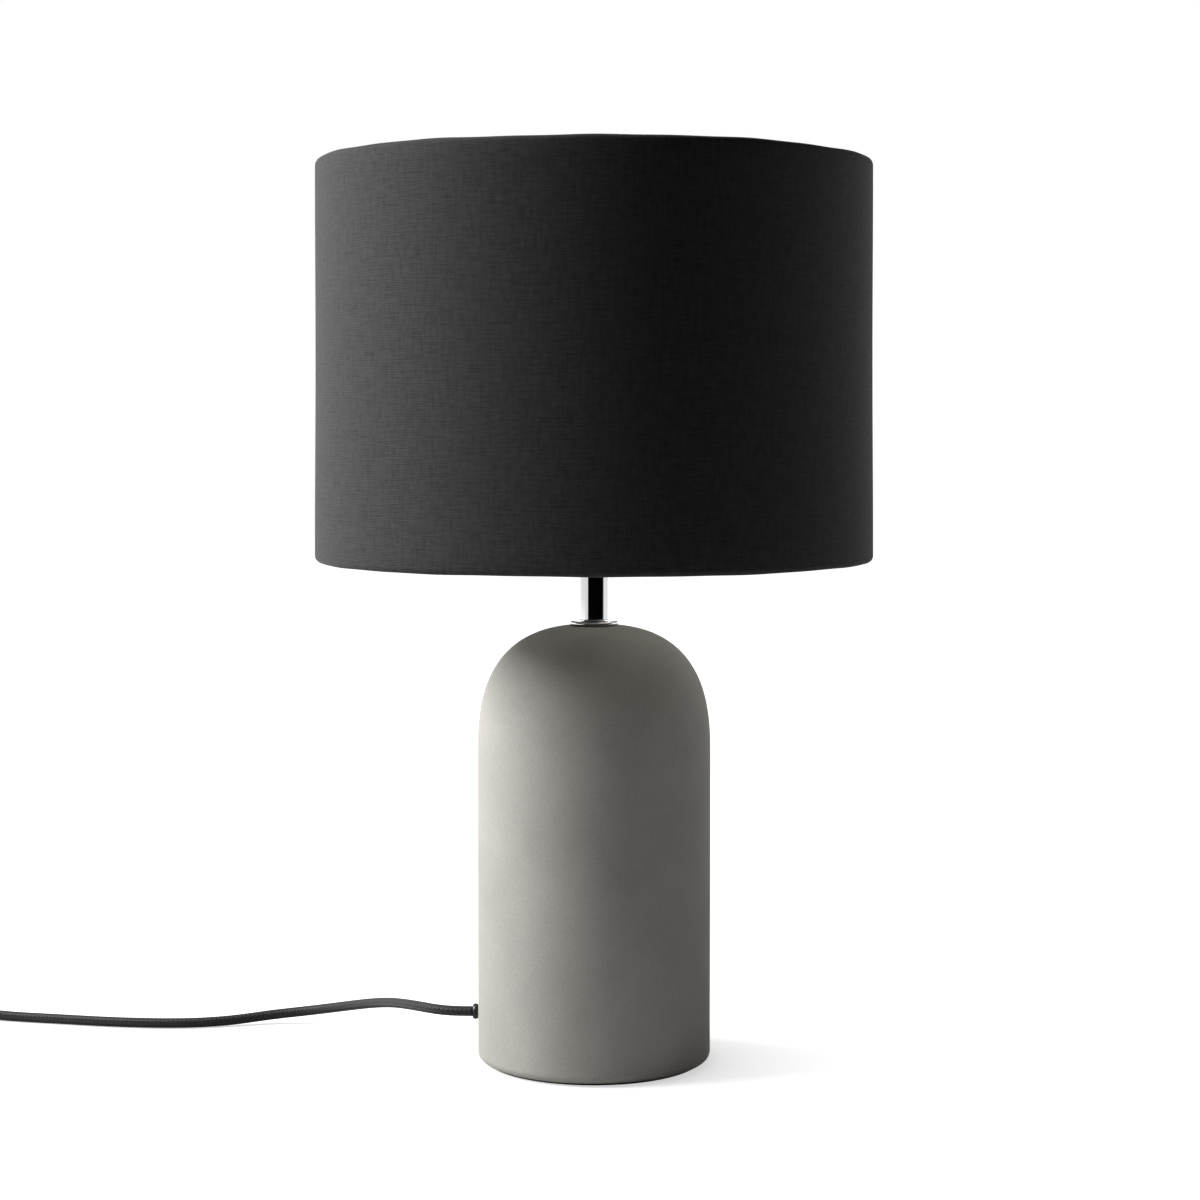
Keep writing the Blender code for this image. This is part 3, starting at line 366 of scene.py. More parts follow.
blend = node(tree, "ShaderNodeMath", {0: spread.outputs[0], 1: 0.65, 2: speck.outputs[0]},
             operation="MULTIPLY_ADD")
toned = node(tree, "ShaderNodeMath", {0: blend.outputs[0], 1: pits.outputs[0]}, operation="MULTIPLY")
tint(tree, shader, toned.outputs[0], "#A8A6A0", "#BCB9B3")
rough = node(tree, "ShaderNodeMapRange", {"Value": blend.outputs[0], "To Min": 0.7, "To Max": 0.85})
tree.links.new(rough.outputs[0], shader.inputs["Roughness"])
relief = node(tree, "ShaderNodeMath", {0: grain.outputs[0], 1: 0.25, 2: pits.outputs[0]},
              operation="MULTIPLY_ADD")
emboss(tree, shader, relief.outputs[0], 0.00012)
fit(casting, "Concrete_Base", concrete, "lamp", "concrete", "base_shell")


# ---- The cover and the felt -------------------------------------------------------------------
# A moulded disc closes the casting's underside in a rebate, and a pressed felt disc is glued over it
# so that the heavy base doesn't mark the table.

def grained(name, scale, detail, dark, light, rough=(), relief=0.0, **values):
    """A finish whose colour follows a fine noise, as do its roughness between two values and its
    relief in metres, where they are given."""
    made, tree, shader = finish(name, **values)
    place = node(tree, "ShaderNodeTexCoord")
    fine = node(tree, "ShaderNodeTexNoise", {"Vector": place.outputs["Object"], "Scale": scale,
                                             "Detail": detail})
    tint(tree, shader, fine.outputs[0], dark, light)
    if rough:
        dulled = node(tree, "ShaderNodeMapRange", {"Value": fine.outputs[0], "To Min": rough[0],
                                                   "To Max": rough[1]})
        tree.links.new(dulled.outputs[0], shader.inputs["Roughness"])
    if relief:
        emboss(tree, shader, fine.outputs[0], relief)
    return made


# Spark-textured nylon or ABS: black, satin, with a fine even grain from the eroded mould.
black_plastic = grained("Black_Moulded_Plastic", 2600.0, 2.0, "#101011", "#1B1B1C", (0.34, 0.52),
                        0.00004, Roughness=0.42)

# Pressed wool felt: matted fibres with no weave, a fuzzy dull black.
felt, tree, shader = finish("Black_Pressed_Felt", Roughness=0.95, Sheen_Weight=0.5,
                            Sheen_Roughness=0.7)
place = node(tree, "ShaderNodeTexCoord")
fibres = node(tree, "ShaderNodeTexNoise", {"Vector": place.outputs["Object"], "Scale": 700.0,
                                           "Detail": 6.0, "Roughness": 0.8, "Distortion": 1.5})
tint(tree, shader, fibres.outputs[0], "#0B0B0B", "#2C2B2A")
emboss(tree, shader, fibres.outputs[0], 0.0003)
FELT = 0.0010
rings = [(0, 0.0), (0.0569, 0.0)] + arc(0.0571, 0.0004, 0.0004, -90, 0, 3)[1:]
disc = turned(rings + [(0.0575, FELT), (0, FELT)])
fit(disc, "Felt_Disc", felt, "lamp", "felt", "felt_pad")


def keep(surface, *names):
    """These CAD nodes stay, with this material."""
    for name in names:
        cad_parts[name].data.materials.clear()
        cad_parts[name].data.materials.append(surface)


keep(black_plastic, "bottom_cover")


# ---- The cord bushing -------------------------------------------------------------------------
# A small nylon grommet with a bell-shaped flange lines the hole in the concrete, so that the edge
# doesn't cut the braid.

profile = [(0.00305, -0.0220), (0.00350, -0.0220), (0.0039, -0.0130), (0.0039, 0.0003)]
profile += arc(0.0038, 0.0012, 0.0005, -60, 40, 4) + arc(0.0033, 0.0022, 0.0005, 30, 120, 4)
bushing = turned(profile + [(0.00305, 0.0024)], 48)
laid(bushing, (-BASE_RADIUS, 0, EXIT_HEIGHT), "Y", -90)
fit(bushing, "Cord_Bushing", black_plastic, "lamp", "black_plastic", "cord_bushing")


# ---- The stem ---------------------------------------------------------------------------------
# A drawn steel tube and a turned disc, both polished and chromed, are clamped on the dome by a
# threaded rod that runs through them from a nut and washer inside the casting to the lampholder.

# Bright chromium plate: a mirror with a cool tint and the faintest waviness of polished tube.
chrome = grained("Polished_Chrome_Plate", 160.0, 4.0, "#D6D8DA", "#E4E5E6", (0.015, 0.05),
                 0.000002, Metallic=1.0, Roughness=0.03)

rings = [(ROD_HOLE, 0.2348)] + arc(0.01265, 0.2353, 0.0005, -90, 0, 4)
rings += arc(0.01205, 0.2357, 0.0011, 0, 90, 5)
disc = turned(rings + [(0.0086, 0.2368), (0.0084, 0.2366), (ROD_HOLE, 0.2366)])
fit(disc, "Chrome_Disc", chrome, "lamp", "chrome", "top_disc")
TUBE_BORE = 0.0063
rings = [(TUBE_BORE, 0.2374)] + arc(0.0072, 0.2374, 0.0003, -90, 0, 3)
rings += arc(0.0072, 0.2751, 0.0003, 0, 90, 3)
tube = turned(rings + [(TUBE_BORE, 0.2754)])
fit(tube, "Chrome_Stem", chrome, "lamp", "chrome", "stem_tube")

# Zinc-plated and blue-passivated steel: greyish, dull bright, with a fine crystalline mottle.
zinc = grained("Zinc_Plated_Steel", 800.0, 4.0, "#A9ABAC", "#C9CBCD", (0.25, 0.45), Metallic=1.0,
               Roughness=0.35)
keep(zinc, "dome_washer", "dome_nut", "cap_lock_screw", "cord_stop_collar")


def threaded(piece, radius, depth, pitch, low, high):
    """Moves the outer wall's points between two heights onto a right-handed round thread."""
    for vertex in piece.data.vertices:
        x, y, z = vertex.co
        across = math.hypot(x, y)
        if low < z < high and across > radius - depth / 2:
            ease = min(1.0, (z - low) / pitch, (high - z) / pitch)
            turn = 2 * math.pi * z / pitch - math.atan2(y, x)
            wanted = radius - depth * ease * (0.5 + 0.5 * math.cos(turn))
            vertex.co.x *= wanted / across
            vertex.co.y *= wanted / across


ROD = 0.005
ROD_CHAMFER = 0.0004
rod_low, rod_high = [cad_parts["threaded_rod"].bound_box[i][2] for i in (0, 1)]
heights = np.linspace(rod_low + ROD_CHAMFER, rod_high - ROD_CHAMFER, 300)
rod = turned([(0.0041, rod_low), (0.0046, rod_low)] + [(ROD, z) for z in heights]
             + [(0.0046, rod_high), (0.0041, rod_high)], 32, 60)
threaded(rod, ROD, 0.0005, 0.001, rod_low, rod_high)
fit(rod, "Threaded_Rod", zinc, "lamp", "zinc", "threaded_rod")


# ---- The lampholder ---------------------------------------------------------------------------
# An E27 holder in black thermoplastic: a cap clamped on the rod, a steatite insert with brass
# contacts and terminals, and a shell threaded outside for the shade ring.

CAP = 0.02025
CAP_BORE = 0.01845
rings = [(CAP, 0.2937), (CAP, 0.2862)]
rings += [(0.0198, 0.2842), (0.0186, 0.2824), (0.0162, 0.2799), (0.0125, 0.2775), (0.0090, 0.2758)]
rings += [(ROD_HOLE, 0.2757), (ROD_HOLE, 0.2775), (0.0090, 0.2776), (0.01445, 0.2812)]
cap = turned(rings + [(CAP_BORE, 0.2862), (CAP_BORE, 0.2937)], 72)
fit(cap, "Holder_Cap", black_plastic, "lamp", "black_plastic", "holder_cap")

SLEEVE = 0.0195
THREAD_TOP = 0.3290
rings = [(0.0186, 0.3302)] + arc(0.0190, 0.3297, 0.0005, 90, 0, 3)
rings += [(SLEEVE, z) for z in np.linspace(THREAD_TOP, 0.3045, 90)] + [(SLEEVE, 0.3040)]
rings += arc(0.0235, 0.3035, 0.0005, 90, 0, 3) + arc(0.0235, 0.3025, 0.0005, 0, -90, 3)
rings += [(0.0215, 0.3015), (0.0206, 0.3005), (CAP, 0.2998), (CAP, 0.2945), (0.0199, 0.2940)]
rings += [(CAP_BORE, 0.2940), (CAP_BORE, 0.3008), (0.0155, 0.3008), (0.0155, 0.3135)]
sleeve = turned(rings + [(0.0137, 0.3145), (0.0137, 0.3297), (0.0142, 0.3302)], 96, 50)
threaded(sleeve, SLEEVE, 0.0009, 0.0025, 0.3052, THREAD_TOP)
fit(sleeve, "Holder_Sleeve", black_plastic, "lamp", "black_plastic", "holder_shell")

# The shade ring screws down on the shell and holds the shade's fitter against its flange. Grip ribs
# are moulded all round it.
rings = [(0.0200, 0.3062)] + arc(0.0270, 0.3070, 0.0008, -90, 0, 3)
rings += [(0.0278, 0.3085), (0.0278, 0.3150)] + arc(0.0266, 0.3160, 0.0012, 0, 90, 4)
ring = turned(rings + [(0.0205, 0.3172), (0.0200, 0.3167)], 144, 45)
GRIP_RIBS = 36
GRIP_DEPTH = 0.012
for vertex in ring.data.vertices:
    across = math.hypot(vertex.co.x, vertex.co.y)
    if across > 0.0277:
        rib = math.cos(GRIP_RIBS * math.atan2(vertex.co.y, vertex.co.x))
        vertex.co.x *= 1 + GRIP_DEPTH * (rib - 1) / 2
        vertex.co.y *= 1 + GRIP_DEPTH * (rib - 1) / 2
fit(ring, "Shade_Ring", black_plastic, "shade_ring", "black_plastic", "shade_ring")

# Unglazed steatite: off-white, fired, with a chalky surface and a few darker specks.
steatite = grained("Unglazed_Steatite", 500.0, 5.0, "#CFC9BC", "#EDE9DF", (), 0.00008,
                   Roughness=0.5)
keep(steatite, "holder_insert")

# Stamped brass: bright yellow metal with the long fine scratches of rolled strip.
brass, tree, shader = finish("Rolled_Brass", Metallic=1.0, Roughness=0.25)
place = node(tree, "ShaderNodeTexCoord")
along = node(tree, "ShaderNodeMapping", {"Vector": place.outputs["Object"], "Scale": (1.0, 1.0, 0.08)})
strokes = node(tree, "ShaderNodeTexNoise", {"Vector": along.outputs[0], "Scale": 1500.0,
                                            "Detail": 3.0})
tint(tree, shader, strokes.outputs[0], "#C79A4B", "#E2BC6E")
rough = node(tree, "ShaderNodeMapRange", {"Value": strokes.outputs[0], "To Min": 0.18, "To Max": 0.38})
tree.links.new(rough.outputs[0], shader.inputs["Roughness"])
keep(brass, "holder_centre_contact", "holder_side_contact", "terminal_screw_live",
     "terminal_screw_neutral", "bulb_tip_contact", "switch_contact", "switch_terminal_in",
     "switch_terminal_out")


# ---- The wiring inside ------------------------------------------------------------------------
# The braided cord goes up the rod and ends in a brown and a blue core under the terminal screws.

# Extruded PVC insulation: glossy, with slight bands where it was pulled from the die.
for core, name, dark, light in (("live_wire", "Brown_PVC", "#4A2413", "#5C3120"),
                                ("neutral_wire", "Blue_PVC", "#123C86", "#1C4FA6")):
    keep(grained(name, 900.0, 2.0, dark, light, (), 0.00003, Roughness=0.35), core)
# The hidden stretch has no map of its own, so its braid is a cross-hatch in the object's own space.
hatch, tree, shader = finish("Black_Braided_Polyester_Inside", Roughness=0.7, Sheen_Weight=0.2)
place = node(tree, "ShaderNodeTexCoord")
yarn = node(tree, "ShaderNodeTexWave", {"Vector": place.outputs["Object"], "Scale": 160.0,
                                        "Distortion": 2.0, "Detail": 2.0}, bands_direction="DIAGONAL")
tint(tree, shader, yarn.outputs["Fac"], "#0A0A0B", "#232325")
emboss(tree, shader, yarn.outputs["Fac"], 0.0002)
keep(hatch, "inner_cord")


# ---- The bulb ---------------------------------------------------------------------------------
# An E27 LED bulb: a nickel-plated cap rolled with its thread, a white moulded collar that sheds the
# heat, and an opal plastic globe over the LED plate.

def heights_of(name):
    """The lowest and highest point of a CAD node."""
    return [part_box(name)[i][2] for i in (0, 1)]


LAMP_CAP = 0.0131
LAMP_PITCH = 0.00363
cap_low, cap_high = heights_of("bulb_screw_cap")
rings = [(0, cap_low), (0.0098, cap_low), (0.0114, cap_low + 0.0010), (0.0124, cap_low + 0.0022)]
rings += [(LAMP_CAP, z) for z in np.linspace(cap_low + 0.0026, cap_high - 0.0022, 72)]
rings += [(0.0129, cap_high - 0.0016), (LAMP_CAP, cap_high - 0.0004), (0.0128, cap_high)]
cap = turned(rings + [(0, cap_high)], 64, 60)
threaded(cap, LAMP_CAP, 0.0011, LAMP_PITCH, cap_low + 0.0024, cap_high - 0.0020)
# Nickel on brass: warmer and softer than chrome, with the marks of the thread rolls.
nickel = grained("Nickel_Plated_Brass", 600.0, 4.0, "#B5B1A8", "#D2CFC7", (0.2, 0.4),
                 Metallic=1.0, Roughness=0.28)
fit(cap, "Bulb_Cap", nickel, "bulb", "zinc", "bulb_screw_cap")
keep(black_plastic, "bulb_insulator")

# White polycarbonate blend: bright and smooth, a little translucent at its edges.
white_plastic = grained("White_Moulded_Polycarbonate", 300.0, 3.0, "#E6E6E2", "#F0F0EC", (),
                        0.00002, Roughness=0.38, Subsurface_Weight=0.08,
                        Subsurface_Scale=0.002)
collar_low, collar_high = heights_of("bulb_collar")
NECK = 0.0258
rings = [(0, collar_low)]
rings += [(r, collar_low + rise) for r, rise in (
    (0.0136, 0.0), (0.0141, 0.0005), (0.0146, 0.003), (0.0171, 0.006), (0.0192, 0.0105),
    (0.0215, 0.0150), (0.0236, 0.0185), (0.0246, 0.0205), (0.0252, 0.0240))]
rings += [(NECK, collar_high - 0.0015), (NECK - 0.0001, collar_high - 0.0006)]
collar = turned(rings + [(NECK - 0.001, collar_high), (0, collar_high)], 72)
fit(collar, "Bulb_Collar", white_plastic, "bulb", "white_plastic", "bulb_collar")
keep(white_plastic, "bulb_led_plate")

# Opal polycarbonate: milky, so that the unlit globe is a soft white with a gentle gloss.
opal = grained("Opal_Diffuser", 90.0, 3.0, "#EDEDE9", "#F6F6F3", (), 0.00003, Roughness=0.22,
               Subsurface_Weight=0.3, Subsurface_Scale=0.006, Subsurface_Radius=(1.0, 0.9, 0.8))
GLOBE = 0.030
globe_low, globe_high = heights_of("bulb_globe")
middle = globe_high - GLOBE
low_angle = math.degrees(math.asin((globe_low - middle) / GLOBE))
rings = arc(0, middle, GLOBE, 90, low_angle, 30)
rings += arc(0, middle, GLOBE - 0.001, low_angle + 1, 90, 20)
globe = turned(rings, 96)
fit(globe, "Bulb_Globe", opal, "bulb", "opal", "bulb_globe")


# ---- The shade's frame ------------------------------------------------------------------------
# Two rings of steel wire hold the drum round. The lower one carries a spider of three bent spokes
# that are welded to the fitter ring, and all of it is dipped in white enamel.

# White epoxy enamel: glossy but slightly orange-peeled, thicker at the welds.
enamel = grained("White_Enamelled_Wire", 700.0, 2.0, "#DAD9D4", "#E8E7E3", (), 0.00006,
                 Roughness=0.3, Coat_Weight=0.3)
shade_low, shade_high = heights_of("shade_cloth")
WIRE_RING = 0.1471
WIRE = 0.0018
ROLL = 0.0029
high, low = shade_high - ROLL, shade_low + ROLL
for name, cad, height in (("Top_Wire", "shade_top_wire", high),
                          ("Bottom_Wire", "shade_bottom_wire", low)):
    hoop = turned(arc(WIRE_RING, height, WIRE, 0, -330, 11), 120)
    fit(hoop, name, enamel, "shade", "white_metal", cad)
fitter_low, fitter_high = heights_of("fitter_ring")
rings = [(0.0205, fitter_low)] + arc(0.0284, fitter_low + 0.0006, 0.0006, -90, 0, 3)
rings += arc(0.0284, fitter_high - 0.0006, 0.0006, 0, 90, 3) + [(0.0205, fitter_high)]
fit(turned(rings, 96), "Fitter_Ring", enamel, "shade", "white_metal", "fitter_ring")
SPOKE = 0.003
spoke_foot = low + ROLL * math.sin(math.radians(45))
spoke_end = (fitter_low + fitter_high) / 2
for number in range(3):
    angle = math.radians(30 + 120 * number)
    run = [(0.1424, spoke_foot), (0.1364, spoke_foot + 0.001), (0.0590, spoke_end - 0.004),
           (0.0410, spoke_end), (0.0293, spoke_end)]
    line = smooth_line([(r * math.cos(angle), r * math.sin(angle), z) for r, z in run], 0.003)
    fit(swept(line, SPOKE, 12), f"Fitter_Spoke_{number + 1}", enamel, "shade", "white_metal",
        f"fitter_spoke_{number + 1}")


# ---- The shade's cloth ------------------------------------------------------------------------
# One strip of black plain-weave cotton, laminated to a white styrene lining, bent into a drum and
# glued along one lapped seam at the back. Its long edges are rolled over the wires and tucked in.

DRUM = 0.150
count = 192
section = [(DRUM - ROLL + ROLL * math.cos(a), high + ROLL * math.sin(a))
           for a in [math.radians(d) for d in (210, 180, 150, 120, 90, 67, 45, 22, 0)]]
section += [(DRUM, high + (low - high) * i / 24) for i in range(1, 24)]
section += [(DRUM - ROLL + ROLL * math.cos(a), low - ROLL * math.sin(a))
            for a in [math.radians(d) for d in (0, 22, 45, 67, 90, 120, 150, 180, 210)]]
nothing_selected()
bpy.ops.mesh.primitive_circle_add(vertices=count, radius=section[0][0], location=(0, 0, section[0][1]))
cloth = bpy.context.object
bpy.ops.object.transform_apply(location=True)
bpy.ops.object.mode_set(mode="EDIT")
bpy.ops.mesh.select_all(action="SELECT")
for (r0, z0), (r1, z1) in zip(section, section[1:]):
    bpy.ops.mesh.extrude_edges_move(TRANSFORM_OT_translate={"value": (0, 0, z1 - z0)})
    bpy.ops.transform.resize(value=(r1 / r0, r1 / r0, 1), center_override=(0, 0, 0))
bpy.ops.mesh.select_all(action="SELECT")
bpy.ops.mesh.normals_make_consistent(inside=False)
bpy.ops.object.mode_set(mode="OBJECT")

# The strip's own map: metres around the drum from the seam, and metres down it.
travelled = [0.0]
for (r0, z0), (r1, z1) in zip(section, section[1:]):
    travelled.append(travelled[-1] + math.hypot(r1 - r0, z1 - z0))
reach = {}
for vertex in cloth.data.vertices:
    row, column = divmod(vertex.index, count)
    reach[vertex.index] = (math.atan2(vertex.co.x, -vertex.co.y) / (2 * math.pi) + 0.5, row)
lie = cloth.data.uv_layers.new(name="lie")
for face in cloth.data.polygons:
    turns = [reach[cloth.data.loops[i].vertex_index][0] for i in face.loop_indices]
    for i in face.loop_indices:
        turn, row = reach[cloth.data.loops[i].vertex_index]
        if max(turns) - turn > 0.5:
            turn += 1.0
        lie.data[i].uv = (turn * 2 * math.pi * DRUM, travelled[row])

# The rims are not quite true: where the cloth was turned over the wire it rises and falls by a few
# tenths of a millimetre, and the wall between is drawn very slightly in.
DRAWN_IN = 0.0022
for vertex in cloth.data.vertices:
    turn = math.atan2(vertex.co.y, vertex.co.x)
    sway = (0.00022 * math.sin(5 * turn + 1.0) + 0.00016 * math.sin(11 * turn)
            + 0.0001 * math.sin(23 * turn))
    share = (vertex.co.z - low) / (high - low)
    vertex.co.z += sway * (share if share > 0.5 else -0.6 * (1 - share))
    drawn = 1 - DRAWN_IN * math.sin(math.pi * min(max(share, 0.0), 1.0)) ** 2
    vertex.co.x *= drawn
    vertex.co.y *= drawn
only(cloth)
wall = cloth.modifiers.new("thickness", "SOLIDIFY")
wall.thickness = 0.0006
wall.offset = -1.0
bpy.ops.object.modifier_apply(modifier=wall.name)
smoothed(cloth, 50)

# Black cotton poplin: about 30 threads to the centimetre, drawn 0.8 mm apart down the strip and 1 mm
# along it because finer would not show, with thicker slubs both ways and a faint dusty sheen at
# glancing angles.
cotton, tree, shader = finish("Black_Woven_Cotton", Roughness=0.85, Specular_IOR_Level=0.3,
                              Sheen_Weight=0.12, Sheen_Roughness=0.4)
place = node(tree, "ShaderNodeUVMap", uv_map="lie")
threads = []
for axis, pitch, stretch in ((0, 0.0010, (1000.0, 60.0, 1.0)), (1, 0.0008, (60.0, 1000.0, 1.0))):
    parts = node(tree, "ShaderNodeSeparateXYZ", {0: place.outputs[0]})
    even = node(tree, "ShaderNodeMapping", {"Vector": place.outputs[0], "Scale": stretch})
    thick = node(tree, "ShaderNodeTexNoise", {"Vector": even.outputs[0], "Scale": 1.0, "Detail": 3.0,
                                              "Roughness": 0.6})
    phase = node(tree, "ShaderNodeMath", {0: parts.outputs[axis], 1: 2 * math.pi / pitch},
                 operation="MULTIPLY")
    wave = node(tree, "ShaderNodeMath", {0: phase.outputs[0]}, operation="SINE")
    lift = node(tree, "ShaderNodeMath", {0: wave.outputs[0], 1: 0.18, 2: thick.outputs[0]},
                operation="MULTIPLY_ADD")
    threads.append(lift.outputs[0])
slubs = []
for run in ((200.0, 640.0, 1.0), (430.0, 120.0, 1.0)):
    slub_place = node(tree, "ShaderNodeMapping", {"Vector": place.outputs[0], "Scale": run})
    slubs.append(node(tree, "ShaderNodeTexNoise", {"Vector": slub_place.outputs[0], "Scale": 1.0,
                                                   "Detail": 3.0}).outputs[0])
both = node(tree, "ShaderNodeMath", {0: slubs[1], 1: 1.2, 2: slubs[0]}, operation="MULTIPLY_ADD")
cross = node(tree, "ShaderNodeMath", {0: threads[0], 1: 0.35}, operation="MULTIPLY")
weave = node(tree, "ShaderNodeMath", {0: threads[1], 1: 0.65, 2: cross.outputs[0]},
             operation="MULTIPLY_ADD")
# Painted shade: the colour is lighter along each thread and darker between threads, following the weave's
# relief; the slubs add a random mottle.
tone_with_painted_shade = node(tree, "ShaderNodeMath", {0: both.outputs[0], 1: 0.45, 2: weave.outputs[0]},
                  operation="MULTIPLY_ADD")
level = node(tree, "ShaderNodeMapRange", {"Value": tone_with_painted_shade.outputs[0], "From Min": 0.65,
                                          "From Max": 1.15})
tint(tree, shader, level.outputs[0], "#252525", "#404040")
emboss(tree, shader, level.outputs[0], 0.00012)
fit(cloth, "Shade_Cloth", cotton, "shade", "cotton", "shade_cloth")

# The lining is a smooth white styrene film, a little yellow from its glue, but its colour is painted a
# light grey below the film's white: a painted shade, so that it throws less light down onto the base's
# dome.
greyed_film = grained("Greyed_Styrene_Film", 35.0, 5.0, "#C6C4BD", "#D6D4CE", (), 0.00008,
               Roughness=0.45, Subsurface_Weight=0.1, Subsurface_Scale=0.001)
LINING = (0.1481, 0.1486)
film_low, film_high = heights_of("shade_lining")
inner = turned([(LINING[0], film_low), (LINING[1], film_low), (LINING[1], film_high),
                (LINING[0], film_high)], 192)
fit(inner, "Shade_Lining", greyed_film, "shade", "lining", "shade_lining")


# ---- The in-line switch -----------------------------------------------------------------------
# Two black moulded halves are screwed together round the cord, with a rocker that tips on two
# trunnions in the upper one.

switch_place = Matrix.Translation((-0.408, 0.100, 0.0)) @ Matrix.Rotation(math.radians(170), 4, "Z")


def oval(length, width, low, rings, count=72):
    """A closed oval body, upwards from a height: each ring is an inset from the outline and a rise."""
    nothing_selected()
    bpy.ops.mesh.primitive_circle_add(vertices=count, radius=1.0, fill_type="NGON",
                                      location=(0, 0, low))
    piece = bpy.context.object
    bpy.ops.object.transform_apply(location=True)
    for vertex in piece.data.vertices:
        turn = math.atan2(vertex.co.y, vertex.co.x)
        c, s = math.cos(turn), math.sin(turn)
        vertex.co.x = length / 2 * math.copysign(abs(c) ** (2 / 2.6), c)
        vertex.co.y = width / 2 * math.copysign(abs(s) ** (2 / 2.6), s)
    bpy.ops.object.mode_set(mode="EDIT")
    bpy.ops.mesh.select_all(action="SELECT")
    inset = 0.0
    for wanted, rise in rings:
        scale = [(side / 2 - wanted) / (side / 2 - inset) for side in (length, width)]
        bpy.ops.mesh.extrude_region_move(TRANSFORM_OT_translate={"value": (0, 0, rise)})
        bpy.ops.transform.resize(value=(scale[0], scale[1], 1), center_override=(0, 0, 0))
        inset = wanted
    bpy.ops.mesh.select_all(action="SELECT")
    bpy.ops.mesh.normals_make_consistent(inside=False)
    smoothed(piece, 40)
    return piece


def block(size, middle, edge=0.0):
    """A rectangular body with rounded edges."""
    nothing_selected()
    bpy.ops.mesh.primitive_cube_add(size=1.0, location=middle)
    piece = bpy.context.object
    piece.scale = size
    bpy.ops.object.transform_apply(location=True, scale=True)
    if edge:
        bpy.ops.object.mode_set(mode="EDIT")
        bpy.ops.mesh.select_all(action="SELECT")
        bpy.ops.mesh.bevel(offset=edge, segments=3, affect="EDGES")
        smoothed(piece, 50)
    return piece


PIVOT = 0.0144
lower = oval(0.0636, 0.0256, 0.0004, [(-0.0007, 0.0004), (-0.0012, 0.0011), (-0.0012, 0.0067),
                                      (-0.0008, 0.00035)])
cut_away(lower, block((0.046, 0.0175, 0.02), (0, 0, 0.0122)))
upper = oval(0.0652, 0.0272, 0.00915, [(-0.0004, 0.00035), (-0.0004, 0.0045), (0.0001, 0.0021),
                                       (0.0013, 0.0012), (0.0030, 0.0007)])
cut_away(upper, block((0.046, 0.0175, 0.0140), (0, 0, 0.0092)))
cut_away(upper, block((0.0202, 0.0103, 0.012), (0, 0, 0.0165)))
for side in (-1, 1):
    bearing_y = side * (0.0095 / 2 + 0.0004 + 0.0009)
    cut_away(upper, block((0.007, 0.0018, 0.0040), (0, bearing_y, 0.0150)), "UNION")
seat = turned([(0, -0.0085), (0.0017, -0.0085), (0.0017, 0.0085), (0, 0.0085)], 24)
cut_away(upper, laid(seat, (0, 0, PIVOT), "X"))
for half, name, cad in ((lower, "Switch_Lower_Half", "switch_lower_shell"),
                        (upper, "Switch_Upper_Half", "switch_upper_shell")):
    half.data.transform(switch_place)
    fit(half, name, black_plastic, "lamp", "black_plastic", cad)
keep(zinc, "switch_screw_base_side", "switch_screw_plug_side")

# The rocker is one moulding: two slopes that meet in a low ridge, with a dished thumb rest in each.
key = block((0.019, 0.0095, 0.0054), (0, 0, 0.0007))
only(key)
bpy.ops.object.mode_set(mode="EDIT")
bpy.ops.mesh.select_all(action="SELECT")
bpy.ops.mesh.subdivide(number_cuts=11)
bpy.ops.object.mode_set(mode="OBJECT")
for vertex in key.data.vertices:
    x, y, z = vertex.co
    if z > 0.0033:
        ridge = 0.00053 * (1 - abs(x) / 0.0095)
        dish = max(0.0, 1 - ((abs(x) - 0.0056) / 0.0034) ** 2) * max(0.0, 1 - (y / 0.0040) ** 2)
        vertex.co.z = z + ridge - 0.0005 * dish
pin = turned([(0, -0.0073), (0.0015, -0.0073), (0.0015, 0.0073), (0, 0.0073)], 24)
cut_away(key, laid(pin, (0, 0, 0), "X"), "UNION")
only(key)
soft = key.modifiers.new("edges", "BEVEL")
soft.width = 0.0003
soft.segments = 2
soft.limit_method = "ANGLE"
soft.angle_limit = math.radians(60)
bpy.ops.object.modifier_apply(modifier=soft.name)
smoothed(key, 35)
laid(key, (0, 0, PIVOT), "Y", -8)
key.data.transform(switch_place)
fit(key, "Switch_Rocker", black_plastic, "rocker", "black_plastic", "switch_rocker")


# ---- The plug ---------------------------------------------------------------------------------
# A flat two-pin mains plug, moulded in one with its ribbed strain relief round the cord's end. The
# pins are plated brass with a black sleeve at the root.

plug_place = Matrix.Translation((-0.4930, -0.0330, 0.0)) @ Matrix.Rotation(math.radians(-88), 4, "Z")
PIN_HEIGHT = 0.00685
PIN_OFFSET = 0.0093
outline = [(0.0178, 0.01535), (0.0161, 0.0174), (0.0040, 0.0174), (-0.0060, 0.0124),
           (-0.0178, 0.0073)]
outline += [(x, -y) for x, y in reversed(outline)]
nothing_selected()
bpy.ops.mesh.primitive_circle_add(vertices=len(outline), radius=0.01, fill_type="NGON",
                                  location=(0, 0, 0.0004))
plug = bpy.context.object
bpy.ops.object.transform_apply(location=True)
for vertex, (x, y) in zip(plug.data.vertices, outline):
    vertex.co.x, vertex.co.y = x, y
bpy.ops.object.mode_set(mode="EDIT")
bpy.ops.mesh.select_all(action="SELECT")
bpy.ops.mesh.extrude_region_move(TRANSFORM_OT_translate={"value": (0, 0, 0.0133)})
bpy.ops.mesh.select_all(action="SELECT")
bpy.ops.mesh.normals_make_consistent(inside=False)
bpy.ops.mesh.bevel(offset=0.0022, segments=4, affect="EDGES")
bpy.ops.object.mode_set(mode="OBJECT")
profile = [(0, 0.004), (0.0052, 0.004), (0.0052, 0.0)]
for i in range(5):
    foot = -0.005 * (i + 1)
    size = 0.0050 - 0.0003 * i
    profile += [(size, foot + 0.0045), (size, foot + 0.0018), (size - 0.0007, foot + 0.0016),
                (size - 0.0007, foot)]
relief = turned(profile + [(0, -0.025)], 48)
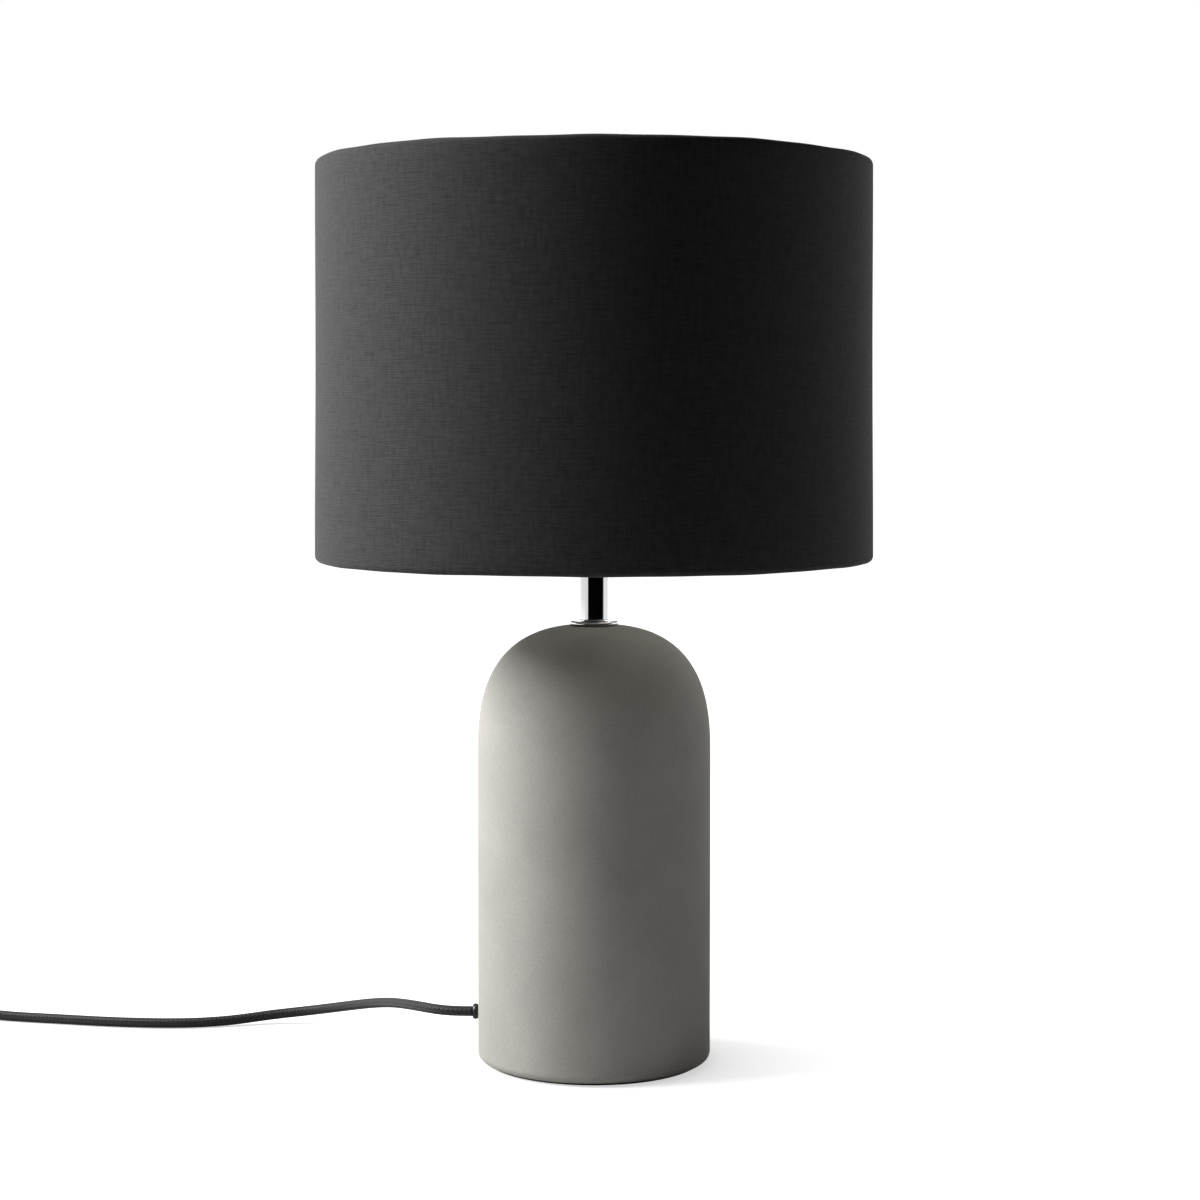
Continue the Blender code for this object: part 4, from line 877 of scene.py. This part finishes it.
cut_away(plug, laid(relief, (-0.018, 0, PIN_HEIGHT), "Y"), "UNION")
for side in (-1, 1):
    socket = turned([(0, -0.0083), (0.0023, -0.0083), (0.0023, 0.002), (0, 0.002)], 32)
    cut_away(plug, laid(socket, (0.018, side * PIN_OFFSET, PIN_HEIGHT), "Y"))
plug.data.transform(plug_place)
smoothed(plug, 35)
fit(plug, "Plug_Body", black_plastic, "lamp", "black_plastic", "plug_body")
for number, side in ((1, 1), (2, -1)):
    rings = [(0, -0.008), (0.0020, -0.008), (0.0020, 0.0168)] + arc(0.0010, 0.0180, 0.0010, 0, 90, 5)
    contact = turned(rings + [(0, 0.0190)], 40)
    laid(contact, (0.018, side * PIN_OFFSET, PIN_HEIGHT), "Y").data.transform(plug_place)
    fit(contact, f"Plug_Pin_{number}", nickel, "lamp", "zinc", f"plug_pin_{number}")


# ---- The coil's tie ---------------------------------------------------------------------------
# A hook-and-loop strap, 5 mm wide, goes once round the coil's turns.

# Woven nylon with loop pile: dull black, with a fine ribbed weave and fuzzy loops.
nylon, tree, shader = finish("Black_Loop_Nylon", Roughness=0.9, Sheen_Weight=0.4, Sheen_Roughness=0.6)
place = node(tree, "ShaderNodeTexCoord")
loops = node(tree, "ShaderNodeTexVoronoi", {"Vector": place.outputs["Object"], "Scale": 1800.0})
tint(tree, shader, loops.outputs["Distance"], "#0C0C0D", "#2A2A2B")
emboss(tree, shader, loops.outputs["Distance"], 0.0002)
strap = block((0.0270, 0.0050, 0.0129), (0, 0, 0), 0.0011)
cut_away(strap, block((0.0258, 0.0100, 0.0117), (0, 0, 0), 0.0009))
TIE_ANGLE = -35
TIE_RADIUS = 0.0319
laid(strap, (COIL.x + TIE_RADIUS * math.cos(math.radians(TIE_ANGLE)),
             COIL.y + TIE_RADIUS * math.sin(math.radians(TIE_ANGLE)), 0.00675), "Z", TIE_ANGLE)
smoothed(strap, 40)
fit(strap, "Coil_Tie", nylon, "lamp", "black_plastic", "coil_tie")


# ---- The studio -------------------------------------------------------------------------------
# A pale seamless floor, one large soft light high at the left, and a bright backdrop behind and at
# the left. The side towards the camera is left dim, as black cards would leave it.

WHITE = (1.0, 1.0, 1.0, 1.0)
nothing_selected()
bpy.ops.mesh.primitive_plane_add(size=12.0, location=(0, 0, 0))
floor = bpy.context.object
floor.name = "Studio_Floor"
# Matt paper. As the camera sees it, the paper glows white with a painted contact shadow, its glow dimmed
# where ambient occlusion finds the lamp and cord close by. Light that bounces off it meets a darker copy,
# painted nearly black towards the camera, whose sweep further off glows up to the backdrop.
paper, tree, shader = finish("Pale_Paper", Roughness=0.9, Specular_IOR_Level=0.1)
shader.inputs["Base Color"].default_value = linear("#D8D8D8")
seen = node(tree, "ShaderNodeLightPath")
# Painted contact shadow: the white glow that the camera sees is dimmed where ambient occlusion finds a
# piece within 9 cm.
nearby = node(tree, "ShaderNodeAmbientOcclusion", {"Distance": 0.09}, samples=16)
painted_contact_shadow = node(tree, "ShaderNodeMapRange", {"Value": nearby.outputs["AO"], "From Min": 0.5,
                                            "From Max": 1.0, "To Min": 0.60, "To Max": 0.96})
glow = node(tree, "ShaderNodeEmission", {"Color": WHITE, "Strength": painted_contact_shadow.outputs[0]})
bright = node(tree, "ShaderNodeAddShader", {0: shader.outputs[0], 1: glow.outputs[0]})
ground = node(tree, "ShaderNodeTexCoord")
sides = node(tree, "ShaderNodeSeparateXYZ", {0: ground.outputs["Object"]})
away = node(tree, "ShaderNodeVectorMath", {0: ground.outputs["Object"]}, operation="LENGTH")
leftward = node(tree, "ShaderNodeMath", {0: sides.outputs[0], 1: -0.8, 2: sides.outputs[1]},
                operation="MULTIPLY_ADD")
rightward = node(tree, "ShaderNodeMath", {0: sides.outputs[0], 1: 0.08, 2: sides.outputs[1]},
                 operation="MULTIPLY_ADD")
behind = node(tree, "ShaderNodeMath", {0: leftward.outputs[0], 1: rightward.outputs[0]},
              operation="MAXIMUM")
backed = node(tree, "ShaderNodeMapRange", {"Value": behind.outputs[0], "From Min": -0.05,
                                           "From Max": 0.05})
far = node(tree, "ShaderNodeMapRange", {"Value": away.outputs["Value"], "From Min": 1.0,
                                        "From Max": 1.6, "To Max": 0.9})
sweep = node(tree, "ShaderNodeMath", {0: backed.outputs[0], 1: far.outputs[0]}, operation="MULTIPLY")
# Painted shade: for light that bounces off it, the floor is nearly black towards the camera and pale
# further back.
front = node(tree, "ShaderNodeMapRange", {"Value": sides.outputs[1], "From Min": -0.9,
                                          "From Max": -0.4})
table = node(tree, "ShaderNodeMix", {0: front.outputs[0], 6: linear("#101010"),
                                     7: linear("#C4C4C4")}, data_type="RGBA")
lit = node(tree, "ShaderNodeBsdfDiffuse", {"Color": table.outputs[2]})
backdrop = node(tree, "ShaderNodeEmission", {"Color": WHITE, "Strength": sweep.outputs[0]})
around = node(tree, "ShaderNodeAddShader", {0: lit.outputs[0], 1: backdrop.outputs[0]})
mixed = node(tree, "ShaderNodeMixShader", {0: seen.outputs["Is Camera Ray"], 1: around.outputs[0],
                                           2: bright.outputs[0]})
tree.links.new(mixed.outputs[0], tree.nodes["Material Output"].inputs[0])
floor.data.materials.append(paper)

key_light = bpy.data.lights.new("key", "AREA")
key_light.shape = "RECTANGLE"
key_light.size = 1.9
key_light.size_y = 1.1
key_light.energy = 126.0
key_lamp = bpy.data.objects.new("key", key_light)
key_lamp.location = (-2.3, 0.10, 1.75)
aim = Vector((0, 0, 0.22)) - key_lamp.location
key_lamp.rotation_euler = aim.to_track_quat("-Z", "Y").to_euler()
bpy.context.scene.collection.objects.link(key_lamp)

world = bpy.data.worlds.new("studio")
bpy.context.scene.world = world
world.use_nodes = True
tree = world.node_tree
direction = node(tree, "ShaderNodeTexCoord")
parts = node(tree, "ShaderNodeSeparateXYZ", {0: direction.outputs["Generated"]})
back = node(tree, "ShaderNodeMapRange", {"Value": parts.outputs[1], "From Min": -0.02,
                                         "From Max": 0.20, "To Min": 0.06, "To Max": 1.6})
roof = node(tree, "ShaderNodeMapRange", {"Value": parts.outputs[2], "From Min": 0.10,
                                         "From Max": 0.36, "To Min": 1.0, "To Max": 0.06})
sky = node(tree, "ShaderNodeMath", {0: back.outputs[0], 1: roof.outputs[0]}, operation="MULTIPLY")
seen = node(tree, "ShaderNodeLightPath")
level = node(tree, "ShaderNodeMix", {0: seen.outputs["Is Camera Ray"], 2: sky.outputs[0], 3: 1.0},
             data_type="FLOAT")
tree.links.new(level.outputs[0], tree.nodes["Background"].inputs["Strength"])
tree.nodes["Background"].inputs["Color"].default_value = WHITE
